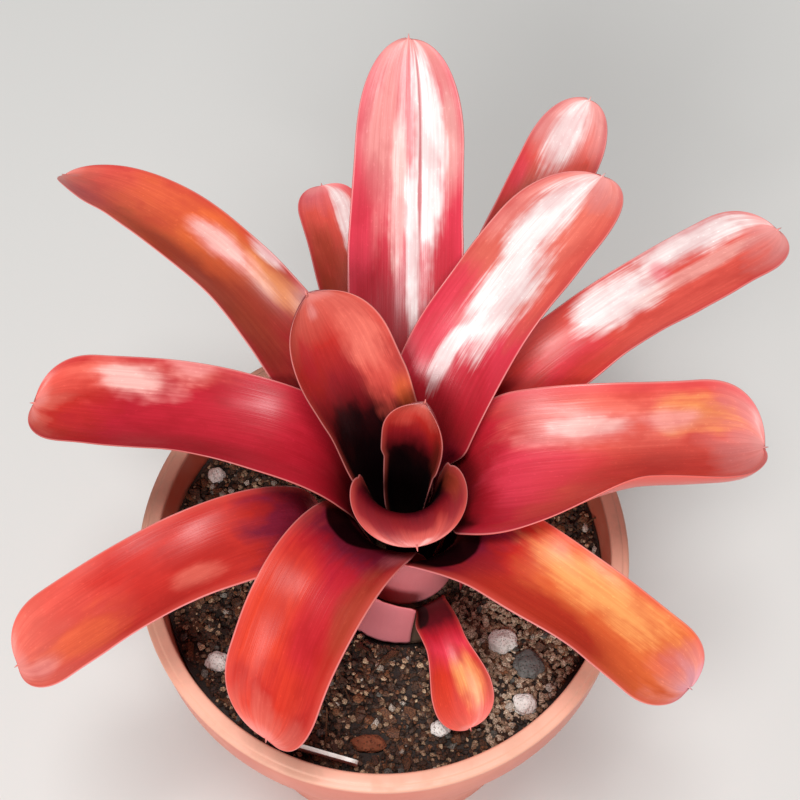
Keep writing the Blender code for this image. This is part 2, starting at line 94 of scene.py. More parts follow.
# Finer form of a leaf. A wave has lengths across and along it, in millimetres.
LEAF_ROWS = 120
LEAF_COLUMNS = 36
MIDRIB_POINTS = 160
SLOPE_STEP = 0.5 * MM
TIP_ROUNDNESS = 2.4
LEAST_HALF_WIDTH = 0.6 * MM
MARGIN_THICKNESS = 0.22 * MM
BROAD_WAVE = (11.0, 24.0)
FINE_WAVE = (5.0, 10.0)
SPINE_LENGTH = 1.5 * MM
SPINE_RADIUS = 0.34 * MM
SPINE_POINT_RADIUS = 0.06 * MM

CAMERA_PLACE = Vector((4.0, -147.2, 458.2)) * MM
CAMERA_TARGET = Vector((4.0, 40.6, 105.0)) * MM
CAMERA_LENS = 70.16
LIGHT_TARGET = Vector((5.0, 10.0, 120.0)) * MM
WORLD_STRENGTH = 0.2


def tint(red, green, blue):
    """Linear colour from the 0 to 255 values that a picture shows."""
    values = []
    for value in (red, green, blue):
        value /= 255.0
        values.append(value / 12.92 if value <= 0.04045 else ((value + 0.055) / 1.055) ** 2.4)
    return (*values, 1.0)


# Node helpers

def put(tree, kind, inputs=None, **settings):
    """New node. An input given a value is set, and one given a socket is linked."""
    made = tree.nodes.new(kind)
    for name, value in settings.items():
        setattr(made, name, value)
    for key, value in (inputs or {}).items():
        if isinstance(value, bpy.types.NodeSocket):
            tree.links.new(value, made.inputs[key])
        else:
            made.inputs[key].default_value = value
    return made


def calc(tree, operation, *values):
    return put(tree, "ShaderNodeMath", dict(enumerate(values)), operation=operation).outputs[0]


def times(tree, first, second):
    return calc(tree, "MULTIPLY", first, second)


def plus(tree, first, second):
    return calc(tree, "ADD", first, second)


def minus(tree, first, second):
    return calc(tree, "SUBTRACT", first, second)


def clouds(tree, place, scale, detail=2.0, roughness=0.5):
    inputs = {"Vector": place, "Scale": scale, "Detail": detail, "Roughness": roughness}
    return put(tree, "ShaderNodeTexNoise", inputs).outputs["Fac"]


def fade(tree, value, low, high, start=0.0, end=1.0):
    """Smooth step of a value from low to high."""
    inputs = {"Value": value, "From Min": low, "From Max": high, "To Min": start, "To Max": end}
    return put(tree, "ShaderNodeMapRange", inputs, interpolation_type="SMOOTHSTEP").outputs["Result"]


def blend(tree, share, first, second, mode="MIX"):
    inputs = {0: share, 6: first, 7: second}
    return put(tree, "ShaderNodeMix", inputs, data_type="RGBA", blend_type=mode).outputs[2]


def stretch(tree, place, scale, shift=(0.0, 0.0, 0.0)):
    return put(tree, "ShaderNodeMapping", {"Vector": place, "Scale": scale, "Location": shift}).outputs[0]


def new_group(name, *numbers):
    """Node group with the input Place, a vector, and with named number inputs."""
    tree = bpy.data.node_groups.new(name, "ShaderNodeTree")
    tree.interface.new_socket(name="Place", in_out="INPUT", socket_type="NodeSocketVector")
    for label in numbers:
        tree.interface.new_socket(name=label, in_out="INPUT", socket_type="NodeSocketFloat")
    return tree, put(tree, "NodeGroupInput").outputs


def give(tree, **outputs):
    """Send named numbers out of a node group, which this returns."""
    for label in outputs:
        tree.interface.new_socket(name=label, in_out="OUTPUT", socket_type="NodeSocketFloat")
    put(tree, "NodeGroupOutput", outputs)
    return tree


def use_group(tree, group, **inputs):
    return put(tree, "ShaderNodeGroup", inputs, node_tree=group).outputs


def new_material(name, roughness):
    material = bpy.data.materials.new(name)
    material.use_nodes = True
    tree = material.node_tree
    shader = tree.nodes["Principled BSDF"]
    shader.inputs["Roughness"].default_value = roughness
    return material, tree, shader


def object_place(tree):
    return put(tree, "ShaderNodeTexCoord").outputs["Object"]


def paint(tree, shader, colour, rough=None):
    tree.links.new(colour, shader.inputs["Base Color"])
    if rough is not None:
        tree.links.new(rough, shader.inputs["Roughness"])


def set_bump(tree, shader, height, strength, distance):
    inputs = {"Height": height, "Strength": strength, "Distance": distance}
    tree.links.new(put(tree, "ShaderNodeBump", inputs).outputs["Normal"], shader.inputs["Normal"])


def dress_node(name, material):
    """Give a solid of the frame its finish."""
    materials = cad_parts[name].data.materials
    materials.clear()
    materials.append(material)


# Shared effects

def make_leaf_grain():
    """Fine lines along the leaf, broad clouds and small flecks. Place is in millimetres."""
    tree, given = new_group("leaf_grain")
    place = given["Place"]
    wide = clouds(tree, stretch(tree, place, (1.1, 0.035, 1.0)), 1.0, 3.0, 0.6)
    thin = clouds(tree, stretch(tree, place, (3.2, 0.05, 1.0), (7.0, 3.0, 0.0)), 1.0, 2.0, 0.6)
    lines = plus(tree, times(tree, wide, 0.6), times(tree, thin, 0.4))
    broad = clouds(tree, stretch(tree, place, (0.16, 0.07, 1.0), (11.0, 5.0, 0.0)), 1.0, 3.0, 0.55)
    small = clouds(tree, stretch(tree, place, (1.6, 0.9, 1.0), (2.0, 9.0, 0.0)), 1.0)
    return give(tree, Lines=lines, Clouds=broad, Flecks=fade(tree, small, 0.60, 0.74))


def make_leaf_patch():
    """Soft oval patch on a leaf, with a ragged edge drawn out along the leaf."""
    tree, given = new_group("leaf_patch", "Ragged", "Across", "Along", "Width", "Length", "Soft")
    parts = put(tree, "ShaderNodeSeparateXYZ", {0: given["Place"]}).outputs
    side = calc(tree, "DIVIDE", minus(tree, parts["X"], given["Across"]), given["Width"])
    reach = calc(tree, "DIVIDE", minus(tree, parts["Y"], given["Along"]), given["Length"])
    square = plus(tree, times(tree, side, side), times(tree, reach, reach))
    away = plus(tree, calc(tree, "SQRT", square), given["Ragged"])
    start = minus(tree, 1.0, given["Soft"])
    return give(tree, Mask=fade(tree, away, start, 1.0, 1.0, 0.0))


def make_grit():
    """Coarse and fine grain of soil, stone and bark, and small pits, where Pits is 0."""
    tree, given = new_group("grit", "Scale")
    place = given["Place"]
    scale = given["Scale"]
    cells = put(tree, "ShaderNodeTexVoronoi", {"Vector": place, "Scale": times(tree, scale, 1.9)})
    coarse = clouds(tree, place, scale, 3.0, 0.6)
    fine = clouds(tree, place, times(tree, scale, 4.1), 2.0, 0.6)
    return give(tree, Coarse=coarse, Fine=fine, Pits=fade(tree, cells.outputs["Distance"], 0.12, 0.42))


def make_dust():
    """Thin dust in clouds, more of it on upward faces, and fine scuffs."""
    tree, given = new_group("dust", "Amount")
    facing = put(tree, "ShaderNodeNewGeometry").outputs["Normal"]
    upward = fade(tree, put(tree, "ShaderNodeSeparateXYZ", {0: facing}).outputs["Z"], 0.1, 0.9)
    broken = fade(tree, clouds(tree, given["Place"], 130.0, 4.0, 0.65), 0.42, 0.68)
    lifted = plus(tree, 0.35, times(tree, upward, 0.65))
    dusty = times(tree, times(tree, broken, lifted), given["Amount"])
    lines = clouds(tree, stretch(tree, given["Place"], (60.0, 60.0, 900.0)), 1.0, 4.0, 0.7)
    return give(tree, Mask=dusty, Scuffs=fade(tree, lines, 0.60, 0.72))


LEAF_GRAIN = make_leaf_grain()
LEAF_PATCH = make_leaf_patch()
GRIT = make_grit()
DUST = make_dust()


# Colours of the leaves, and their skin

# The first, nearly black colour is painted shade in the tank and the gaps between leaves; the second is the
# deep red of the leaf bases darkened with painted shade.
PAINTED_SHADE_BLACK = tint(13, 2, 4)
DEEP_RED_AND_SHADE = tint(44, 6, 10)
WINE = tint(104, 14, 30)
PLUM = tint(138, 34, 58)
BROWN = tint(112, 40, 26)
RUST = tint(168, 64, 42)
DARK_RED = tint(158, 30, 38)
BRICK = tint(180, 44, 28)
CRIMSON = tint(196, 34, 52)
CHERRY = tint(232, 62, 84)
RED = tint(206, 50, 42)
SCARLET = tint(230, 68, 38)
CORAL = tint(236, 94, 80)
SALMON = tint(244, 124, 106)
ORANGE = tint(240, 114, 60)
AMBER = tint(252, 168, 98)
ROSE = tint(246, 132, 138)
BLUSH = tint(255, 152, 160)
PINK = tint(248, 166, 160)
# The next two colours are painted highlights, laid as patches on the leaves.
PINK_PAINTED_HIGHLIGHT = tint(251, 206, 196)
PAINTED_HIGHLIGHT = tint(253, 243, 240)
LILAC = tint(214, 160, 178)
LEAF_SHADE = tint(222, 186, 188)
LEAF_FLECK = (1.35, 1.7, 1.7, 1.0)
LEAF_ROUGHNESS = 0.29
MARGIN_STRENGTH = 0.35
EDGE_STRENGTH = 0.45
UNDERSIDE_STRENGTH = 0.8
PAINTED_SHADOW_STRENGTH = 0.97
PATCH_SOFTNESS = 0.75
PAINTED_HIGHLIGHT_SOFTNESS = 0.55
PAINTED_SHADOW_SOFTNESS = 0.16


def leaf_material(name, look, size, seed):
    """Skin of one leaf. size is its half width and length in millimetres."""
    material, tree, shader = new_material(name, LEAF_ROUGHNESS)
    uv = put(tree, "ShaderNodeUVMap", uv_map="leaf").outputs[0]
    place = stretch(tree, uv, (2.0 * size[0], size[1], 1.0), (17.3 * seed, 9.1 * seed, 0.0))
    grain = use_group(tree, LEAF_GRAIN, Place=place)
    parts = put(tree, "ShaderNodeSeparateXYZ", {0: uv}).outputs
    along = parts["Y"]
    wander = times(tree, minus(tree, grain["Clouds"], 0.5), 0.22)
    travel = plus(tree, along, wander)

    stops = look["stops"]
    shades = put(tree, "ShaderNodeValToRGB", {"Fac": travel})
    elements = shades.color_ramp.elements
    elements[0].position, elements[0].color = stops[0]
    elements[1].position, elements[1].color = stops[-1]
    for position, colour in stops[1:-1]:
        elements.new(position).color = colour
    colour = shades.outputs["Color"]

    cloudy = times(tree, minus(tree, grain["Clouds"], 0.5), 1.4)
    streaky = minus(tree, grain["Lines"], 0.5)
    washed = plus(tree, cloudy, times(tree, streaky, 0.3))
    highlight_ragged = times(tree, plus(tree, cloudy, streaky), 0.75)

    def lay(ragged, soft, ground, spot, strength, side, reach, width, length):
        """Spot of another colour laid on the ground colour."""
        mask = use_group(
            tree, LEAF_PATCH, Place=uv, Ragged=ragged, Across=0.5 + 0.5 * side, Along=reach,
            Width=0.5 * width, Length=length, Soft=soft,
        )["Mask"]
        return blend(tree, times(tree, mask, strength), ground, spot)

    # Painted highlight patches get a streakier ragged edge than the other patches.
    for patch in look["patches"]:
        if patch[0] in (PAINTED_HIGHLIGHT, PINK_PAINTED_HIGHLIGHT):
            colour = lay(highlight_ragged, PAINTED_HIGHLIGHT_SOFTNESS, colour, *patch)
        else:
            colour = lay(washed, PATCH_SOFTNESS, colour, *patch)
    # Near-black painted shade in the deep gaps between leaves.
    for painted_shade in look["painted_shadows"]:
        colour = lay(times(tree, cloudy, 0.2), PAINTED_SHADOW_SOFTNESS, colour, PAINTED_SHADE_BLACK, PAINTED_SHADOW_STRENGTH, *painted_shade)

    deep = blend(tree, 1.0, colour, LEAF_SHADE, "MULTIPLY")
    colour = blend(tree, fade(tree, grain["Lines"], 0.38, 0.62, 0.0, 0.4), colour, deep)
    colour = blend(tree, fade(tree, grain["Clouds"], 0.42, 0.64, 0.0, 0.6), colour, deep)
    bright = blend(tree, 1.0, colour, LEAF_FLECK, "MULTIPLY")
    colour = blend(tree, times(tree, grain["Flecks"], 0.35), colour, bright)

    edge = calc(tree, "ABSOLUTE", minus(tree, times(tree, parts["X"], 2.0), 1.0))
    colour = blend(tree, fade(tree, edge, 0.80, 0.97, 0.0, MARGIN_STRENGTH), colour, look["margin"])
    colour = blend(tree, fade(tree, edge, 0.965, 0.995, 0.0, EDGE_STRENGTH), colour, PINK)
    nearing = plus(tree, along, times(tree, wander, 0.25))
    colour = blend(tree, fade(tree, nearing, 0.965, 0.998, 0.0, EDGE_STRENGTH), colour, look["tip"])

    under = put(tree, "ShaderNodeAttribute", attribute_name="underside").outputs["Fac"]
    below = blend(tree, UNDERSIDE_STRENGTH, colour, look["under"])
    colour = blend(tree, under, colour, below)

    rough = plus(tree, LEAF_ROUGHNESS - 0.06, times(tree, grain["Clouds"], 0.14))
    paint(tree, shader, colour, plus(tree, rough, times(tree, grain["Lines"], 0.08)))
    shader.inputs["Specular IOR Level"].default_value = look["specular"]
    height = plus(tree, grain["Lines"], times(tree, grain["Clouds"], 0.8))
    set_bump(tree, shader, height, 0.22, 0.3 * MM)
    return material


# Objects

def add_object(name, data):
    """New object of the scene, from a camera, a light or a bmesh."""
    if isinstance(data, bmesh.types.BMesh):
        shape = data
        data = bpy.data.meshes.new(name)
        shape.to_mesh(data)
        shape.free()
    made = bpy.data.objects.new(name, data)
    bpy.context.scene.collection.objects.link(made)
    return made


def add_piece(name, shape, material, node=None, smooth=True):
    """Finished piece from a bmesh. It rides on the root and stands for the named node."""
    piece = add_object(name, shape)
    if smooth:
        piece.data.shade_smooth()
    piece.data.materials.append(material)
    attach(piece, "root")
    if node:
        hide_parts(node)
    return piece


# Leaf form, the same curves as in the frame

def ramp(value, start, end):
    share = np.clip((value - start) / (end - start), 0.0, 1.0)
    return share * share * (3.0 - 2.0 * share)


def bezier(*points):
    start, pull, push, end = np.array(points)
    share = np.linspace(0.0, 1.0, MIDRIB_POINTS)[:, None]
    rest = 1.0 - share
    return rest**3 * start + 3.0 * rest**2 * share * pull + 3.0 * rest * share**2 * push + share**3 * end


def midrib(leaf):
    """Curve of a leaf's middle line in its own upright plane: radius, height."""
    base_radius = FIRST_SHELL_RADIUS + leaf["shell"] * SHELL_PITCH
    base_height = CONE_TOP - (base_radius - LEAF_THICKNESS / 2.0) + LEAF_SEAT_GAP
    radius = FIRST_SHOULDER_RADIUS + leaf["shell"] * SHOULDER_PITCH
    height = FIRST_SHOULDER_HEIGHT - leaf["shell"] * SHOULDER_DROP
    if "shoulder_radius" in leaf:
        radius = leaf["shoulder_radius"] * MM
        height = POT_HEIGHT + leaf["shoulder_height"] * MM
    rise = math.radians(leaf["shoulder_rise"])
    tip_rise = math.radians(leaf["tip_rise"])
    reach = leaf["reach"] * MM
    tip = POT_HEIGHT + leaf["tip_height"] * MM
    third = (height - base_height) / 3.0
    out = leaf["shoulder_pull"] * MM
    back = leaf["tip_pull"] * MM
    sheath = bezier(
        [base_radius, base_height],
        [base_radius, base_height + third],
        [radius - third * math.cos(rise), height - third * math.sin(rise)],
        [radius, height],
    )
    blade = bezier(
        [radius, height],
        [radius + out * math.cos(rise), height + out * math.sin(rise)],
        [reach - back * math.cos(tip_rise), tip - back * math.sin(tip_rise)],
        [reach, tip],
    )
    curve = np.vstack([sheath, blade[1:]])
    steps = np.hypot(*np.diff(curve, axis=0).T)
    travel = np.concatenate([[0.0], np.cumsum(steps)])
    return curve, travel, travel[MIDRIB_POINTS - 1]


def leaf_points(leaf, share, across):
    """Points of a leaf at shares of its length and places across it, -1 to 1, and its lengths."""
    curve, travel, sheath_end = midrib(leaf)
    length = travel[-1]
    along = share * length
    radius, height = (np.interp(along, travel, line) for line in curve.T)
    ahead = np.array([np.interp(along + SLOPE_STEP, travel, line) for line in curve.T])
    behind = np.array([np.interp(along - SLOPE_STEP, travel, line) for line in curve.T])
    lean_out, lean_up = (ahead - behind) / np.hypot(*(ahead - behind))

    base_width = leaf["base_width"] * MM
    sheath_width = leaf["sheath_width"] * MM
    blade_width = leaf["blade_width"] * MM
    neck_width = blade_width * leaf["neck"]
    flare = leaf["flare"] * MM
    drop_start = leaf.get("drop_start", 0.15 * sheath_end / MM) * MM
    drop_end = leaf.get("drop_end", sheath_end / MM) * MM
    widest = leaf["widest_at"] * length
    half = base_width + (sheath_width - base_width) * ramp(along, drop_start, drop_end)
    half = half + (neck_width - sheath_width) * ramp(along, sheath_end - 2.0 * MM, sheath_end + flare)
    half = half + (blade_width - neck_width) * ramp(along, sheath_end + 0.6 * flare, widest)
    tip_start = 1.0 - leaf["tip_taper"] * blade_width / length
    into_tip = np.clip((share - tip_start) / (1.0 - tip_start), 0.0, 1.0)
    half = half * np.sqrt(np.clip(1.0 - into_tip**TIP_ROUNDNESS, 0.0, 1.0))
    half = np.maximum(half, LEAST_HALF_WIDTH)

    across = across[None, :]
    left = across > 0.0
    trim = ramp(share, 0.45, 0.95)[:, None]
    outer = across * (1.0 - np.where(left, leaf["left_trim"], leaf["right_trim"]) * trim)
    low = (1.0 - ramp(along, 0.7 * sheath_end, sheath_end + 6.0 * MM))[:, None]
    wrap = np.where(left, leaf["left_wrap"], leaf["right_wrap"])
    inner = across * (1.0 - (1.0 - wrap) * low)
    outer = np.where(low > 0.0, inner, outer)

    azimuth = math.radians(leaf["azimuth"])
    radial = np.array([math.cos(azimuth), math.sin(azimuth), 0.0])
    sideways = np.array([-math.sin(azimuth), math.cos(azimuth), 0.0])
    upward = np.array([0.0, 0.0, 1.0])
    origin = np.array([PLANT_X, 0.0, 0.0])
    start = 0.8 * sheath_end
    drift = leaf["drift"] * MM * np.clip((along - start) / (length - start), 0.0, 1.0) ** 2
    middle = origin + radius[:, None] * radial + height[:, None] * upward + drift[:, None] * sideways
    inward = -lean_up[:, None] * radial + lean_out[:, None] * upward
    roll = math.radians(leaf["roll"]) * ramp(along, sheath_end + 15.0 * MM, sheath_end + 50.0 * MM)
    side = np.cos(roll)[:, None] * sideways + np.sin(roll)[:, None] * inward
    inward = -np.sin(roll)[:, None] * sideways + np.cos(roll)[:, None] * inward

    wrapped = np.minimum(half / np.maximum(radius, 1.0 * MM), WIDEST_SHEATH_ANGLE)
    spread = leaf["blend"] * MM
    free = ramp(along, sheath_end, sheath_end + spread)

    def channel(middle_angle, tip_angle):
        opening = math.radians(tip_angle - middle_angle)
        angle = math.radians(middle_angle) + opening * ramp(along, 0.6 * length, length)
        angle = wrapped * (1.0 - free) + angle * free
        bend = (half / angle)[:, None]
        turn = outer * angle[:, None]
        return bend * np.sin(turn), bend * (1.0 - np.cos(turn))

    fold = channel(leaf["channel"], leaf["tip_channel"])
    if "right_channel" in leaf:
        fold = np.where(left, fold, channel(leaf["right_channel"], leaf["right_tip_channel"]))
    offset, lift = fold
    blade = middle[:, None, :] + side[:, None, :] * offset[:, :, None] + inward[:, None, :] * lift[:, :, None]
    turn = azimuth + inner * wrapped[:, None]
    level = np.broadcast_to(height[:, None], turn.shape)
    sheath = np.stack([PLANT_X + radius[:, None] * np.cos(turn), radius[:, None] * np.sin(turn), level], -1)
    mix = ramp(along, sheath_end - 2.0 * MM, sheath_end + spread)[:, None, None]
    return sheath * (1.0 - mix) + blade * mix, length, sheath_end


def leaf_normals(points):
    """Unit normals of the grid, out of the leaf's lower face."""
    normal = np.cross(*np.gradient(points, axis=(0, 1)))
    size = np.linalg.norm(normal, axis=2, keepdims=True)
    return -normal / np.maximum(size, 1e-12)


def build_leaf(name, leaf, seed):
    """One leaf's two faces and rim, a little wavy, with a thin margin and a spine at its tip."""
    share = np.linspace(0.0, 1.0, LEAF_ROWS + 1)
    share = 1.0 - (1.0 - share) ** 1.35
    place = np.linspace(-1.0, 1.0, LEAF_COLUMNS + 1)
    place = np.sign(place) * (1.0 - (1.0 - np.abs(place)) ** 1.25)
    points, length, sheath_end = leaf_points(leaf, share, place)
    normals = leaf_normals(points)

    open_blade = ramp(share * length, sheath_end + 10.0 * MM, sheath_end + 30.0 * MM)
    half_width = leaf["blade_width"]
    wave = np.zeros(points.shape[:2])
    for row in np.flatnonzero(open_blade):
        up = share[row] * length / MM
        for column, side in enumerate(place):
            broad = noise.noise(Vector((side * half_width / BROAD_WAVE[0], up / BROAD_WAVE[1], seed)))
            fine = noise.noise(Vector((side * half_width / FINE_WAVE[0], up / FINE_WAVE[1], seed + 4.0)))
            swell = (0.45 + 0.5 * abs(side) ** 3) * (broad + 0.3 * fine)
            wave[row, column] = open_blade[row] * swell * MM
    for crease_place, crease_depth, crease_width in leaf["creases"]:
        groove = np.exp(-(((place - crease_place) * half_width / crease_width) ** 2))[None, :]
        wave -= open_blade[:, None] * groove * crease_depth * MM
    points = points + normals * wave[:, :, None]

    flat = 1.0 - np.abs(place) ** 6
    thin = MARGIN_THICKNESS + (LEAF_THICKNESS * 1.15 - MARGIN_THICKNESS) * flat
    thickness = thin[None, :] * (1.0 - 0.45 * ramp(share, 0.9, 1.0))[:, None]

    shape = bmesh.new()
    uv_layer = shape.loops.layers.uv.new("leaf")
    across_layer = shape.verts.layers.float.new("across")
    along_layer = shape.verts.layers.float.new("along")
    under_layer = shape.verts.layers.float.new("underside")
    bmesh.ops.create_grid(shape, x_segments=LEAF_COLUMNS, y_segments=LEAF_ROWS, size=0.5)
    top = list(shape.verts)
    twin = bmesh.ops.duplicate(shape, geom=shape.verts[:] + shape.edges[:] + shape.faces[:])["vert_map"]
    for vertex in top:
        column = round((vertex.co.x + 0.5) * LEAF_COLUMNS)
        row = round((vertex.co.y + 0.5) * LEAF_ROWS)
        offset = normals[row, column] * thickness[row, column] * 0.5
        for item, sign, under in ((vertex, 1.0, 1.0), (twin[vertex], -1.0, 0.0)):
            item.co = Vector(points[row, column] + sign * offset)
            item[across_layer] = place[column]
            item[along_layer] = share[row]
            item[under_layer] = under
    bmesh.ops.bridge_loops(shape, edges=[edge for edge in shape.edges if edge.is_boundary])

    end = Vector(points[-1, LEAF_COLUMNS // 2])
    heading = (end - Vector(points[-3, LEAF_COLUMNS // 2])).normalized()
    turn = heading.to_track_quat("Z", "Y").to_matrix().to_4x4()
    spine = bmesh.ops.create_cone(
        shape, cap_ends=True, segments=10, radius1=SPINE_RADIUS, radius2=SPINE_POINT_RADIUS,
        depth=SPINE_LENGTH, matrix=Matrix.Translation(end + heading * 0.2 * SPINE_LENGTH) @ turn,
    )
    for vertex in spine["verts"]:
        vertex[across_layer] = 0.0
        vertex[along_layer] = 1.0
    for face in shape.faces:
        for loop in face.loops:
            loop[uv_layer].uv = (0.5 + 0.5 * loop.vert[across_layer], loop.vert[along_layer])
    bmesh.ops.recalc_face_normals(shape, faces=shape.faces[:])
    skin = leaf_material(name + "_skin", leaf, (half_width, length / MM), seed)
    add_piece(name + "_surface", shape, skin, name)


# Leaves

# What a leaf has where its row doesn't say: form, then looks
PLAIN_LEAF = dict(
    shoulder_rise=68, shoulder_pull=24, tip_pull=44, drift=0, roll=0, sheath_width=11, widest_at=0.75,
    neck=0.9, flare=18, tip_taper=1.25, channel=40, tip_channel=30, blend=40,
    left_wrap=1, right_wrap=1, left_trim=0, right_trim=0, creases=[],
    painted_shadows=[], margin=CRIMSON, tip=PINK, under=CRIMSON, specular=0.5,
)
